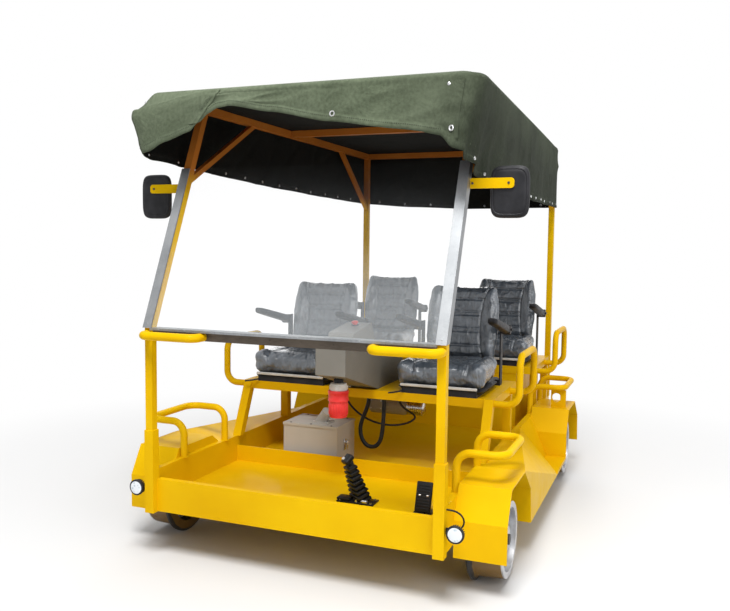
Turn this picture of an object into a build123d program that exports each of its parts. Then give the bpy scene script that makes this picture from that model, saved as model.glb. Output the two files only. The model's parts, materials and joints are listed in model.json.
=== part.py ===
from build123d import *
import math
import os

# A four-seat battery rail trolley with a canvas canopy. Millimetres.
# X runs across the track, Y from the front (negative) to the rear, Z up from the flange tips.
# Distances called "behind the posts" are measured rearwards from the two front posts.

# Overall layout
HALF_POST = 750             # centre line of posts, side walls and roof rails
BODY_OVERHANG = 570         # rear face of the body, behind the rear axle
FRAME_BOTTOM_Z = 240
FLOOR_Z = 302               # top of the floor sheet
SHEET = 6                   # floor, hood and riser sheet
WALL_TOP_Z = 452
WALL_THICK = 30
TOUCH_GAP = 0.3             # room left beside soft or turning pieces

# Wheels and axles
AXLE_BEHIND = 420           # front axle, behind the posts
WHEELBASE = 1915
AXLE_D = 50
WHEEL_OUT = 58              # inner face of each flange, outside the posts' line, for a 1676 mm gauge
WHEEL_W = 165
FLANGE_R = 208
TREAD_R = 182
RIM_R = 150                 # inner radius of the rim
HUB_R = 62
HUB_SET = 12                # the hub's faces lie this far inside the rim's
WEB_T = 30
WEB_DRAFT = 6
FLANGE_T = 33
TREAD_TAPER = 3             # half the tread's fall in radius across its width
AXLE_BOX_T = 12
AXLE_BOX_HALF = 62
BEARING_D = 112
BEARING_L = 45

# Underframe
RAIL_INSET = 130            # the two long rails' centre lines, inside the posts' line
RAIL_W = 50
CROSS_FIRST = 92            # centre line of the first cross member, behind the posts
CROSS_AFTER = 340           # cross member behind the front axle
CROSS_BEFORE = 295          # cross member in front of the rear axle
CROSS_LAST = 455            # last cross member, behind the rear axle

# Front beam and posts
BEAM_FRONT = 12
BEAM_THICK = 30
BEAM_TOP_Z = 407
BEAM_LIP = 26
RISER_BEHIND = 800
RISER_TOP_Z = 395
SOCKET_SIZE = 50
SOCKET_FOOT_Z = 238
SOCKET_TOP_Z = 656
POST_SIZE = 40
POST_TOP_Z = 1171

# Wheel hoods, skirts and steps
HOOD_FRONT = 171            # front plate of the front hoods, behind the posts
HOOD_WIDTH = 245
HOOD_BOTTOM_Z = 178
HOOD_CREASE_Z = 352
HOOD_TOP_Z = 500
HOOD_CHAMFER = 82
HOOD_TOP_LENGTH = 322
HOOD_SLOPE_LENGTH = 176
HOOD_SLOPE_Z = 370
HOOD_LENGTH = 614
STEP_LENGTH = 366           # from the skirts' end to the rear hoods
STEP_TOP_Z = 196
STEP_WIDTH = 130

# Windscreen and roof
RAKE = 23.0                 # windscreen and pillar rake, degrees
GLASS_T = 6
STRIP_T = 6
STRIP_W = 45
STRIP_SIDE_T = 3            # the strips' side flanges over the pillars' outer faces
GLASS_SHARE = 0.698         # share of the pillars' height that the glass covers
SILL_FRONT = -36
RAKE_ROOM = 400             # room for the cut at the windscreen's foot
ROOF_Z = 2306               # centre line of the roof rails
ROOF_FRONT = 105
ROOF_REAR_INSET = 25        # rear posts' middle, in front of the body's rear face
ROOF_TUBE = 40
BRACE_TUBE = 28
BRACE_DROP = 405            # foot of the front braces, under the roof rails
BRACE_TOP = 1034            # top of the front braces, behind the posts
REAR_BRACE_DROP = 430
REAR_BRACE_RUN = 560
CANOPY_OUT_FRONT = 146      # the cover stands out from the posts' line more at the front than at the rear
CANOPY_OUT_REAR = 34
CANOPY_FRONT = 56
CANOPY_OVERHANG = 70        # rear edge of the cover, behind the rear posts' middle
CANOPY_SHEET = 8
CANOPY_EDGE_R = 14
VALANCE_SIDE_DROP = 426     # hems, under the roof rails' middle
VALANCE_REAR_DROP = 416
VALANCE_CORNER_DROP = 314   # the side hems rise to this at the front corners
VALANCE_CUT = 840           # and do so over this length
FRONT_HEM = ((-1, 306), (-0.62, 186), (-0.36, 74), (0.22, 171), (0.82, 250), (1, 306))  # share of X, drop

# Dash
BAND_Z = (1118, 1160)
BAND_Y = (-6, 34)
HANDLE_D = 42
HANDLE_REACH = 85           # how far the grab handles stand in front of the posts
HANDLE_LENGTH = 307
HANDLE_Z = 1138

# Seat platforms and battery box
PLATFORM_TOP_Z = 765
PLATFORM_RAIL = 50
PLATFORM_DEPTH = 650
PLATFORM_FRONT = 938        # front edge of the front platform, behind the posts
PLATFORM_AHEAD = 130        # front edge of the rear platform, in front of the rear axle
LEG_W = 50
RAKED_LEG_FOOT = 800        # foot of the front platform's raked front legs
BACK_LEG = {"front": 470, "rear": 560}        # rear legs, behind the platform's front edge
FRONT_LEG_REAR = 110        # upright front legs of the rear platform, behind its front edge
BATTERY_IN = 12             # the box stands this far behind the rear platform's front edge
BATTERY_GAP = 95            # between the box and the side walls
BATTERY_DEPTH = 600

# Seats, measured from the platform's front edge and top
SEAT_GAP = 372              # middle of each seat, from the console's side
SEAT_HALF = 262
BACK_HALF = 238
PAN_HALF = 215
PAN_Z = 36
PAN_DEPTH = 540
CUSHION_Y = (-8, 412)
CUSHION_Z = (PAN_Z + TOUCH_GAP, 172)
CUSHION_R = 40
BACK_FOOT = (422, 132)
BACK_HEAD = (520, 582)
BACK_T = 92
BACK_R = 38
PLATE_T = 8
PLATE_Y = (452, 506)
PIVOT = (480, 335)
PIVOT_R = 30
PIN_D = 16
ARM_LENGTH = 395
ARM_T = 50
ARM_W = 60
ARM_TIP_RISE = 78

# Hoops
HOOP_D = 38
LIFT_FRONT = 272            # front leg, behind the posts
LIFT_LENGTH = 405
LIFT_TOP_Z = 640
LIFT_REACH = 210            # how far the hoops stand out from the walls
GUARD_BEHIND = 22           # front leg, behind the platform's front edge
GUARD_LENGTH = 430
GUARD_REACH = 135
GUARD_HEIGHT = 239          # top of the guard hoops, over the platforms
HOOP_BEND = 70

# Console, controller box, connector and motor
CONSOLE_HALF = 85
CONSOLE_FRONT = 500
CONSOLE_REAR = 1412
CONSOLE_NOSE_Z = (906, 1062)
CONSOLE_TAIL_Z = 945
PANEL_HALF = 72
PANEL = ((600, 1035), (640, 1118), (905, 1152), (985, 1000))   # behind the posts, Z
STOP_D = 40
STOP_SHIFT = 60             # behind the panel's middle
BOX_X = (-452, -112)
BOX_Y = (850, 1110)
BOX_TOP_Z = 550
BOX_LID = 14
BOX_RIM = 4
SOCKET_BASE = (55, 45, 10)  # half width, half depth and height of the angled socket's foot
SOCKET_BASE_AT = (130, 85)  # from the box's right side and front
SOCKET_NECK = ((-10, 0, 5), (42, -20, 72))
SOCKET_NECK_D = 62
PLUG_BEHIND = 610
PLUG_D = 112
PLUG_CAP_D = 96
PLUG_Z = (668, 815)
PLUG_COLLAR = 60
PLUG_LAP = 20
PLUG_R = 8
MOTOR_X = (-118, 240)
MOTOR_BEHIND = 1395
MOTOR_Z = 590
MOTOR_D = 108
MOTOR_TAIL = 110            # length of the finned end
FIN_COUNT = 6
FIN_STEP = 16
FIN_T = 7
FIN_FIRST = 10
TERMINAL_BOX = ((20, 110), 26, (-20, 48))      # X from the motor's end, depth, Z about its axis
HANGER = ((60, 180), 30)    # X from the motor's end, half depth

# Lamps, mirrors and pedals
LAMP_OUT = 75               # outside the posts' line
LAMP_Z = 360
LAMP_D = 80
LAMP_FACE = -34             # front of the lamp, behind the posts
LAMP_DEPTH = 48
LENS_T = 6
LENS_RIM = 5
LENS_R = 4
LAMP_STEM = (26, 14)        # diameter and length
LAMP_BRACKET = (8, 32)      # thickness and height
LAMP_BRACKET_SET = 4
MIRROR_OUT = 200            # outside the posts' line
MIRROR_SET = 32.4           # behind the pillars' middle at the arm's height
MIRROR_DROP = 473           # under the roof rails' middle
MIRROR_SIZE = (178, 28, 234)
MIRROR_CORNER_R = 34
ARM_BAR = (10, 46)
LUG_REACH = 180
LUG_BEHIND = 62
LUG_W = 100
LUG_T = 12
LUG_H = 118
LUG_HOLE_D = 60
BRAKE_X = 205
BRAKE_BEHIND = 385
BRAKE_PLATE = ((-95, 105), (-50, 45), 8)       # about the pedal's place on the floor, as are the bars
BRAKE_BARS = (((20, 10, 4), (-20, -55, 215), (62, 46)),
              ((30, -5, 60), (5, -70, 160), (96, 18)),
              ((-36, -70, 212), (-14, -30, 250), (50, 30)))
THROTTLE_INSET = 183        # inside the posts' line
THROTTLE_BEHIND = 340
THROTTLE_PLATE = ((-46, 46), (-30, 60), 8)
THROTTLE_BARS = (((0, -14, 6), (0, 34, 150), (84, 26)),)
THROTTLE_STAY = ((8, 4), (56, 4), (44, 110), (30, 110))
THROTTLE_STAY_HALF = 18
PEDAL_ROOM = 200            # room for the cut under the floor

# Cables: points behind the posts, chosen along the route
POWER_D = 24
POWER_ROUTE = ((18, 1020, 739), (18, 1020, 694), (3, 1020, 636), (-22, 1020, 580), (-39, 1020, 520),
               (-30, 1020, 460), (4, 1020, 416), (55, 1020, 412), (90, 1020, 450), (101, 1020, 508),
               (106, 1020, 572), (109, 1020, 636), (110, 1020, 694), (110, 1020, 739))
SIGNAL_D = 12
SIGNAL_ROUTE = ((-150, 1062, 739), (-150, 1062, 704), (-136, 1062, 664), (-104, 1062, 624), (-56, 1062, 588),
                (4, 1062, 560), (72, 1062, 544), (142, 1064, 541), (204, 1068, 551), (250, 1076, 568),
                (274, 1090, 586), (270, 1108, 602), (242, 1118, 616), (204, 1116, 634), (176, 1108, 664),
                (168, 1104, 704), (168, 1104, 739))
LAMP_WIRE_D = 8
LAMP_WIRE_BENDS = ((25, 12, 92), (47, 12, 92), (72, 17, 86), (90, 28, 68), (96, 42, 44),
                   (92, 54, 22), (83, 58, 5), (75, 46, 0), (75, 28, 0))   # from the posts' line and the lamp
GLAND_SPARE = 14            # a gland's collar is this much wider than its cable


def behind(distance):
    """Y of a place that lies this far behind the front posts."""
    return FRONT_POST_Y + distance


def block(x, y, z):
    """Box between two X values, two distances behind the posts and two heights."""
    centre = (sum(x) / 2, behind(sum(y) / 2), sum(z) / 2)
    return Pos(*centre) * Box(x[1] - x[0], y[1] - y[0], z[1] - z[0])


def both_sides(piece):
    """The piece and its mirror image across the track's middle."""
    return [piece, mirror(piece, about=Plane.YZ)]


def bar(start, end, width, height):
    """Straight rectangular bar between two (x, distance behind, z) points, its width along X."""
    foot = Vector(start[0], behind(start[1]), start[2])
    head = Vector(end[0], behind(end[1]), end[2])
    run = head - foot
    section = Plane(origin=foot, x_dir=(1, 0, 0), z_dir=run) * Rectangle(width, height)
    return extrude(section, run.length)


def rod(start, end, diameter):
    """Straight round rod between two (x, distance behind, z) points."""
    foot = Vector(start[0], behind(start[1]), start[2])
    run = Vector(end[0], behind(end[1]), end[2]) - foot
    return extrude(Plane(origin=foot, z_dir=run) * Circle(diameter / 2), run.length)


def bent_tube(points, bend, diameter):
    """Round tube along straight runs and bends; bend is one radius or a list of them."""
    path = FilletPolyline(*[(x, behind(y), z) for x, y, z in points], radius=bend)
    section = Plane(origin=path @ 0, z_dir=path % 0) * Circle(diameter / 2)
    return sweep(section, path=path)


def side_profile(points, x):
    """Prism across X from (distance behind, z) corners."""
    plane = Plane(origin=(x[0], 0, 0), x_dir=(0, 1, 0), z_dir=(1, 0, 0))
    face = make_face(Polyline(*[(behind(y), z) for y, z in points], close=True))
    return extrude(plane * face, x[1] - x[0])


def polyhedron(faces):
    """Solid from flat faces, each a loop of (x, distance behind, z) corners."""
    walls = [Face(Wire.make_polygon([(x, behind(y), z) for x, y, z in loop])) for loop in faces]
    return Solid(Shell(walls))


def save(node, pieces):
    """Write one node; its pieces don't touch each other."""
    solids = [solid for piece in pieces for solid in piece.solids()]
    export_step(Compound(solids), f"parts/{node}.step")


def cable(node, route, diameter):
    """Free cable: each bend is as large as its two runs allow."""
    corners = [Vector(x, behind(y), z) for x, y, z in route]
    runs = [b - a for a, b in zip(corners, corners[1:])]
    radii = []
    for before, after in zip(runs, runs[1:]):
        turn = math.radians(before.get_angle(after))
        radii.append(0.45 * min(before.length, after.length) / math.tan(turn / 2))
    tube = bent_tube(route, radii, diameter)
    length = tube.volume / (math.pi * diameter ** 2 / 4)
    print(node, "length", round(length), "smallest bend", round(min(radii)))
    save(node, [tube])


os.makedirs("parts", exist_ok=True)

AXLES = {"front": AXLE_BEHIND, "rear": AXLE_BEHIND + WHEELBASE}
BODY_REAR = AXLES["rear"] + BODY_OVERHANG
ROOF_REAR = BODY_REAR - ROOF_REAR_INSET
CANOPY_REAR = ROOF_REAR + CANOPY_OVERHANG
FRONT_POST_Y = -(CANOPY_REAR - HANDLE_REACH - HANDLE_D / 2) / 2    # puts the origin under the middle
WALL_IN = HALF_POST - WALL_THICK / 2
WALL_OUT = HALF_POST + WALL_THICK / 2
HALF_BACK_TO_BACK = HALF_POST + WHEEL_OUT
RAIL_X = HALF_POST - RAIL_INSET
CROSS_MEMBERS = (CROSS_FIRST, AXLES["front"] + CROSS_AFTER,
                 (AXLES["front"] + CROSS_AFTER + AXLES["rear"] - CROSS_BEFORE) / 2,
                 AXLES["rear"] - CROSS_BEFORE, AXLES["rear"] + CROSS_LAST)
HOOD_OUT_X = WALL_OUT + HOOD_WIDTH
PLATFORMS = {"front": PLATFORM_FRONT, "rear": AXLES["rear"] - PLATFORM_AHEAD}
SEAT_X = CONSOLE_HALF + SEAT_GAP
THROTTLE_X = HALF_POST - THROTTLE_INSET
SOCKET_HALF = SOCKET_SIZE / 2
FLOOR_UNDER = FLOOR_Z - SHEET
BEAM_REAR = BEAM_FRONT + BEAM_THICK
HOOD_FRONTS = (HOOD_FRONT, HOOD_FRONT + WHEELBASE)
SKIRT_REAR = HOOD_FRONTS[1] - STEP_LENGTH


# Underframe and body tub

def long_rail():
    return block((RAIL_X - RAIL_W / 2, RAIL_X + RAIL_W / 2), (BEAM_REAR, BODY_REAR - SHEET),
                 (FRAME_BOTTOM_Z, FLOOR_UNDER))


def cross_member(middle):
    """Three lengths in line: one between the long rails and one from each rail to its side wall."""
    y = (middle - RAIL_W / 2, middle + RAIL_W / 2)
    z = (FRAME_BOTTOM_Z, FLOOR_UNDER)
    between = block((-RAIL_X + RAIL_W / 2, RAIL_X - RAIL_W / 2), y, z)
    return [between] + both_sides(block((RAIL_X + RAIL_W / 2, WALL_IN), y, z))


def floor_pan():
    floor = block((-WALL_IN, WALL_IN), (BEAM_REAR, BODY_REAR - SHEET), (FLOOR_UNDER, FLOOR_Z))
    riser = block((-WALL_IN, WALL_IN), (RISER_BEHIND, RISER_BEHIND + SHEET), (FLOOR_UNDER, RISER_TOP_Z))
    return floor + riser


def front_beam():
    half = HALF_POST - SOCKET_HALF
    plate = block((-half, half), (BEAM_FRONT, BEAM_FRONT + SHEET), (FRAME_BOTTOM_Z, BEAM_TOP_Z))
    for z in (FRAME_BOTTOM_Z, BEAM_TOP_Z - SHEET):
        plate += block((-half, half), (BEAM_FRONT, BEAM_REAR), (z, z + SHEET))
    plate += block((-half, half), (BEAM_REAR - SHEET, BEAM_REAR), (BEAM_TOP_Z - BEAM_LIP, BEAM_TOP_Z))
    plate += block((-half, half), (BEAM_FRONT, BEAM_REAR), (FLOOR_UNDER, FLOOR_Z))
    return plate


save("underframe_rails", both_sides(long_rail()))
save("cross_members", [piece for middle in CROSS_MEMBERS for piece in cross_member(middle)])
save("floor_pan", [floor_pan()])
save("front_beam", [front_beam()])
save("side_walls", both_sides(block((WALL_IN, WALL_OUT), (SOCKET_HALF, BODY_REAR),
                                    (FRAME_BOTTOM_Z, WALL_TOP_Z))))
save("rear_wall", [block((-WALL_IN, WALL_IN), (BODY_REAR - SHEET, BODY_REAR), (FRAME_BOTTOM_Z, WALL_TOP_Z))])


# Wheel hoods, skirts and steps along the sides

HOOD_SLOPE_START = HOOD_CHAMFER + HOOD_TOP_LENGTH
HOOD_SLOPE_END = HOOD_SLOPE_START + HOOD_SLOPE_LENGTH


def hood_corners(bottom):
    """Side outline of a hood as (distance behind its front plate, z)."""
    return ((0, bottom), (0, HOOD_CREASE_Z), (HOOD_CHAMFER, HOOD_TOP_Z), (HOOD_SLOPE_START, HOOD_TOP_Z),
            (HOOD_SLOPE_END, HOOD_SLOPE_Z), (HOOD_LENGTH, bottom))


def wheel_hood(front):
    """Bent sheet over one wheel, open below and outside, closed above the side wall."""
    low = HOOD_BOTTOM_Z - 4 * SHEET
    outline = make_face(Polyline(*[(behind(front + y), z) for y, z in hood_corners(low)], close=True))
    inside = offset(outline, amount=-SHEET, kind=Kind.INTERSECTION)
    plane = Plane(origin=(WALL_OUT, 0, 0), x_dir=(0, 1, 0), z_dir=(1, 0, 0))
    width = HOOD_OUT_X - WALL_OUT
    sheet = extrude(plane * outline, width) - extrude(plane * inside, width)
    closing = extrude(plane * outline, SHEET)
    around = (front - SHEET, front + HOOD_LENGTH + SHEET)
    across = (WALL_OUT, HOOD_OUT_X)
    sheet -= block(across, around, (low - SHEET, HOOD_BOTTOM_Z))
    closing -= block(across, around, (low - SHEET, WALL_TOP_Z - 2 * SHEET))
    return sheet + closing


def side_skirt():
    """Wedge from the front hood's rear slope down to the step."""
    top = HOOD_FRONT + HOOD_SLOPE_START
    knee = HOOD_FRONT + HOOD_SLOPE_END
    foot = HOOD_FRONT + HOOD_LENGTH
    lean = (HOOD_TOP_Z - WALL_TOP_Z) / (HOOD_TOP_Z - HOOD_SLOPE_Z)
    peak = (HOOD_OUT_X, top, HOOD_TOP_Z)
    shoulder = (WALL_OUT, top + lean * HOOD_SLOPE_LENGTH, WALL_TOP_Z)
    knee_out, knee_in = (HOOD_OUT_X, knee, HOOD_SLOPE_Z), (WALL_OUT, knee, HOOD_SLOPE_Z)
    foot_out, foot_in = (HOOD_OUT_X, foot, HOOD_BOTTOM_Z), (WALL_OUT, foot, HOOD_BOTTOM_Z)
    tail_out, tail_in = (HOOD_OUT_X, SKIRT_REAR, HOOD_BOTTOM_Z), (WALL_OUT, SKIRT_REAR, HOOD_BOTTOM_Z)
    tail_top = (WALL_OUT, SKIRT_REAR, WALL_TOP_Z)
    return polyhedron((
        (peak, knee_out, knee_in, shoulder),
        (knee_out, foot_out, foot_in, knee_in),
        (peak, tail_out, foot_out, knee_out),
        (foot_out, tail_out, tail_in, foot_in),
        (tail_out, tail_top, tail_in),
        (shoulder, knee_in, foot_in, tail_in, tail_top),
        (peak, tail_top, tail_out),
        (peak, shoulder, tail_top),
    ))


def side_step():
    """Step plate with a slanted panel up to the wall."""
    rear = HOOD_FRONTS[1]
    corners = ((WALL_OUT, HOOD_BOTTOM_Z), (HOOD_OUT_X, HOOD_BOTTOM_Z), (HOOD_OUT_X, STEP_TOP_Z),
               (HOOD_OUT_X - STEP_WIDTH, STEP_TOP_Z), (WALL_OUT + SHEET, WALL_TOP_Z), (WALL_OUT, WALL_TOP_Z))
    plane = Plane(origin=(0, behind(rear), 0), x_dir=(1, 0, 0), z_dir=(0, -1, 0))
    return extrude(plane * make_face(Polyline(*corners, close=True)), rear - SKIRT_REAR)


save("wheel_hoods", [hood for front in HOOD_FRONTS for hood in both_sides(wheel_hood(front))])
save("side_skirts", both_sides(side_skirt()))
save("side_steps", both_sides(side_step()))


# Wheelsets and their bearings

def wheel(axle):
    """Flanged rail wheel with a dished web, its flange inboard."""
    web_in = (WHEEL_W - WEB_T) / 2
    web_out = web_in + WEB_T
    corners = ((HUB_SET, AXLE_D / 2), (HUB_SET, HUB_R), (web_in, HUB_R + WEB_DRAFT),
               (web_in, RIM_R - WEB_DRAFT), (0, RIM_R), (0, FLANGE_R - FLANGE_T / 3),
               (FLANGE_T / 4, FLANGE_R), (FLANGE_T * 0.6, FLANGE_R),
               (FLANGE_T, TREAD_R + TREAD_TAPER), (WHEEL_W, TREAD_R - TREAD_TAPER),
               (WHEEL_W, RIM_R), (web_out, RIM_R - WEB_DRAFT), (web_out, HUB_R + WEB_DRAFT),
               (WHEEL_W - HUB_SET, HUB_R), (WHEEL_W - HUB_SET, AXLE_D / 2))
    plane = Plane(origin=(HALF_BACK_TO_BACK, behind(axle), FLANGE_R), x_dir=(1, 0, 0), z_dir=(0, -1, 0))
    face = plane * make_face(Polyline(*corners, close=True))
    return revolve(face, axis=Axis((0, behind(axle), FLANGE_R), (1, 0, 0)))


def axle_box(axle):
    """Hanger plate on the long rail with a round bearing housing."""
    rail_face = RAIL_X + RAIL_W / 2
    plate = block((rail_face, rail_face + AXLE_BOX_T), (axle - AXLE_BOX_HALF, axle + AXLE_BOX_HALF),
                  (FLANGE_R - AXLE_BOX_HALF, FLOOR_UNDER))
    housing = rod((rail_face, axle, FLANGE_R), (rail_face + BEARING_L, axle, FLANGE_R), BEARING_D)
    bore = rod((0, axle, FLANGE_R), (HALF_BACK_TO_BACK, axle, FLANGE_R), AXLE_D + 2 * TOUCH_GAP)
    return plate + housing - bore


for row, axle in AXLES.items():
    half_axle = HALF_BACK_TO_BACK + WHEEL_W
    save(f"axle_{row}", [rod((-half_axle, axle, FLANGE_R), (half_axle, axle, FLANGE_R), AXLE_D)])
    save(f"wheels_{row}", both_sides(wheel(axle)))
save("axle_boxes", [box for axle in AXLES.values() for box in both_sides(axle_box(axle))])


# Front posts, dash and windscreen

def front_post():
    half = POST_SIZE / 2
    socket = block((HALF_POST - SOCKET_HALF, HALF_POST + SOCKET_HALF), (-SOCKET_HALF, SOCKET_HALF),
                   (SOCKET_FOOT_Z, SOCKET_TOP_Z))
    return socket + block((HALF_POST - half, HALF_POST + half), (-half, half), (SOCKET_TOP_Z, POST_TOP_Z))


def grab_handle():
    """Forward-bulging handle from the post's front face to the dash band."""
    post_face = -POST_SIZE / 2
    route = ((HALF_POST, post_face, HANDLE_Z), (HALF_POST, -HANDLE_REACH, HANDLE_Z),
             (HALF_POST - HANDLE_LENGTH, -HANDLE_REACH, HANDLE_Z),
             (HALF_POST - HANDLE_LENGTH, BAND_Y[0], HANDLE_Z))
    return bent_tube(route, HANDLE_D, HANDLE_D)


def pillar_behind(z):
    """How far behind the posts the raked pillars' middle is at this height."""
    return (z - POST_TOP_Z) * math.tan(math.radians(RAKE))


def along_rake(x, out, length):
    """Slab on the raked windscreen: X range, distances in front of the pillars' middle, length."""
    tilt = math.radians(RAKE)
    up = Vector(0, math.sin(tilt), math.cos(tilt))
    ahead = Vector(0, -math.cos(tilt), math.sin(tilt))
    middle = Vector(sum(x) / 2, behind(0), POST_TOP_Z) + ahead * (sum(out) / 2) - up * POST_SIZE
    section = Plane(origin=middle, x_dir=(1, 0, 0), z_dir=up) * Rectangle(x[1] - x[0], out[1] - out[0])
    below = block((-2 * HALF_POST, 2 * HALF_POST), (-RAKE_ROOM, RAKE_ROOM), (0, POST_TOP_Z))
    return extrude(section, length + POST_SIZE) - below


def edge_strip():
    """Angle strip: its face on the glass, its side flange over the pillar's outer face."""
    side_x = (STRIP_X[1], STRIP_X[1] + STRIP_SIDE_T)
    flange = along_rake(side_x, (-PILLAR_HALF, STRIP_OUT[1]), GLASS_LENGTH)
    return flange + along_rake(STRIP_X, STRIP_OUT, GLASS_LENGTH)


PILLAR_HALF = POST_SIZE / 2
GLASS_LENGTH = GLASS_SHARE * (ROOF_Z - POST_TOP_Z) / math.cos(math.radians(RAKE))
GLASS_OUT = (PILLAR_HALF, PILLAR_HALF + GLASS_T)
STRIP_OUT = (GLASS_OUT[1], GLASS_OUT[1] + STRIP_T)
STRIP_X = (HALF_POST + PILLAR_HALF - STRIP_W, HALF_POST + PILLAR_HALF)
BAND_HALF = HALF_POST - POST_SIZE / 2

save("front_posts", both_sides(front_post()))
save("grab_handles", both_sides(grab_handle()))
save("dash_band", [block((-BAND_HALF, BAND_HALF), BAND_Y, BAND_Z)])
save("windscreen_glass", [along_rake((-STRIP_X[1], STRIP_X[1]), GLASS_OUT, GLASS_LENGTH)])
save("windscreen_strips", both_sides(edge_strip()))
save("windscreen_sill", [block((-BAND_HALF, BAND_HALF), (SILL_FRONT, BAND_Y[1]), (BAND_Z[1], POST_TOP_Z))])


# Roof frame and canopy

def roof_frame():
    half = ROOF_TUBE / 2
    reach = (ROOF_Z - POST_TOP_Z) / math.cos(math.radians(RAKE))
    side = along_rake((HALF_POST - PILLAR_HALF, HALF_POST + PILLAR_HALF), (-PILLAR_HALF, PILLAR_HALF), reach)
    side += block((HALF_POST - half, HALF_POST + half), (ROOF_FRONT, ROOF_REAR + half),
                  (ROOF_Z - half, ROOF_Z + half))
    side += block((HALF_POST - half, HALF_POST + half), (ROOF_REAR - half, ROOF_REAR + half),
                  (WALL_TOP_Z, ROOF_Z + half))
    foot_z = ROOF_Z - BRACE_DROP
    side += bar((HALF_POST, pillar_behind(foot_z), foot_z), (HALF_POST, BRACE_TOP, ROOF_Z),
                BRACE_TUBE, BRACE_TUBE)
    side += bar((HALF_POST, ROOF_REAR - REAR_BRACE_RUN, ROOF_Z),
                (HALF_POST, ROOF_REAR, ROOF_Z - REAR_BRACE_DROP), BRACE_TUBE, BRACE_TUBE)
    frame = side + mirror(side, about=Plane.YZ)
    for middle in (ROOF_FRONT + half, (ROOF_FRONT + ROOF_REAR) / 2, ROOF_REAR):
        frame += block((-HALF_POST, HALF_POST), (middle - half, middle + half),
                       (ROOF_Z - half, ROOF_Z + half))
    return frame


CANOPY_HALF_FRONT = HALF_POST + CANOPY_OUT_FRONT
CANOPY_HALF_REAR = HALF_POST + CANOPY_OUT_REAR
VALANCE_SIDE_Z = ROOF_Z - VALANCE_SIDE_DROP
VALANCE_REAR_Z = ROOF_Z - VALANCE_REAR_DROP
VALANCE_CORNER_Z = ROOF_Z - VALANCE_CORNER_DROP
MIRROR_X = HALF_POST + MIRROR_OUT
MIRROR_Z = ROOF_Z - MIRROR_DROP
MIRROR_ARM_Z = MIRROR_Z + MIRROR_SIZE[2] / 6
MIRROR_BEHIND = pillar_behind(MIRROR_ARM_Z) + MIRROR_SET


def canopy_block(inset, z):
    """Tapered block under the cover's plan outline, drawn in by inset, its top edges rounded."""
    front, rear = behind(CANOPY_FRONT + inset), behind(CANOPY_REAR - inset)
    half_front, half_rear = CANOPY_HALF_FRONT - inset, CANOPY_HALF_REAR - inset
    plan = Polyline((-half_front, front), (half_front, front), (half_rear, rear), (-half_rear, rear),
                    close=True)
    body = extrude(Pos(0, 0, z[0]) * make_face(plan), z[1] - z[0])
    return fillet(body.edges().group_by(Axis.Z)[-1], CANOPY_EDGE_R - inset)


def canopy():
    """Canvas cover: a top sheet with a valance hanging on each side, open below."""
    under = ROOF_Z + ROOF_TUBE / 2 + TOUCH_GAP
    hem_z = min(VALANCE_SIDE_Z, VALANCE_REAR_Z)
    shell = canopy_block(0, (hem_z, under + CANOPY_SHEET)) - canopy_block(CANOPY_SHEET, (hem_z - 1, under))
    wide = (-2 * CANOPY_HALF_FRONT, 2 * CANOPY_HALF_FRONT)
    inner_rear = CANOPY_REAR - CANOPY_SHEET
    shell -= block(wide, (CANOPY_FRONT, inner_rear), (hem_z - 1, VALANCE_SIDE_Z))
    shell -= block(wide, (inner_rear, CANOPY_REAR), (hem_z - 1, VALANCE_REAR_Z))
    mirror_rear = MIRROR_BEHIND + MIRROR_SIZE[1]
    over_mirror = MIRROR_Z + MIRROR_SIZE[2] / 2 + 2 * CANOPY_SHEET
    corner = ((CANOPY_FRONT - 1, hem_z - 1), (CANOPY_FRONT - 1, VALANCE_CORNER_Z), (mirror_rear, over_mirror),
              (CANOPY_FRONT + VALANCE_CUT, hem_z - 1))
    shell -= side_profile(corner, wide)
    inner_half = CANOPY_HALF_FRONT - CANOPY_SHEET
    arch = [(share * inner_half, ROOF_Z - drop) for share, drop in FRONT_HEM]
    arch += [(inner_half, hem_z - 1), (-inner_half, hem_z - 1)]
    plane = Plane(origin=(0, behind(CANOPY_FRONT + CANOPY_SHEET), 0), x_dir=(1, 0, 0), z_dir=(0, -1, 0))
    return shell - extrude(plane * make_face(Polyline(*arch, close=True)), 2 * CANOPY_SHEET)


save("roof_frame", [roof_frame()])
save("canopy", [canopy()])


# Seat platforms, battery box and hoops

def seat_platform(row, front):
    """Railed deck on four legs that stand on the side walls."""
    rear = front + PLATFORM_DEPTH
    rail_bottom = PLATFORM_TOP_Z - PLATFORM_RAIL
    across = (-WALL_OUT, WALL_OUT)
    deck = block(across, (front, rear), (PLATFORM_TOP_Z - SHEET, PLATFORM_TOP_Z))
    for y in (front, rear - PLATFORM_RAIL):
        deck += block(across, (y, y + PLATFORM_RAIL), (rail_bottom, PLATFORM_TOP_Z))
    side = block((WALL_OUT - PLATFORM_RAIL, WALL_OUT), (front, rear), (rail_bottom, PLATFORM_TOP_Z))
    leg_x = (WALL_OUT - LEG_W, WALL_OUT)
    back_leg = front + BACK_LEG[row]
    uprights = [back_leg] if row == "front" else [back_leg, front + FRONT_LEG_REAR]
    for y in uprights:
        side += block(leg_x, (y, y + LEG_W), (WALL_TOP_Z, PLATFORM_TOP_Z))
    if row == "front":
        corners = ((RAKED_LEG_FOOT, WALL_TOP_Z), (RAKED_LEG_FOOT + LEG_W, WALL_TOP_Z),
                   (front + LEG_W, PLATFORM_TOP_Z), (front, PLATFORM_TOP_Z))
        side += side_profile(corners, leg_x)
    return deck + side + mirror(side, about=Plane.YZ)


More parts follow.
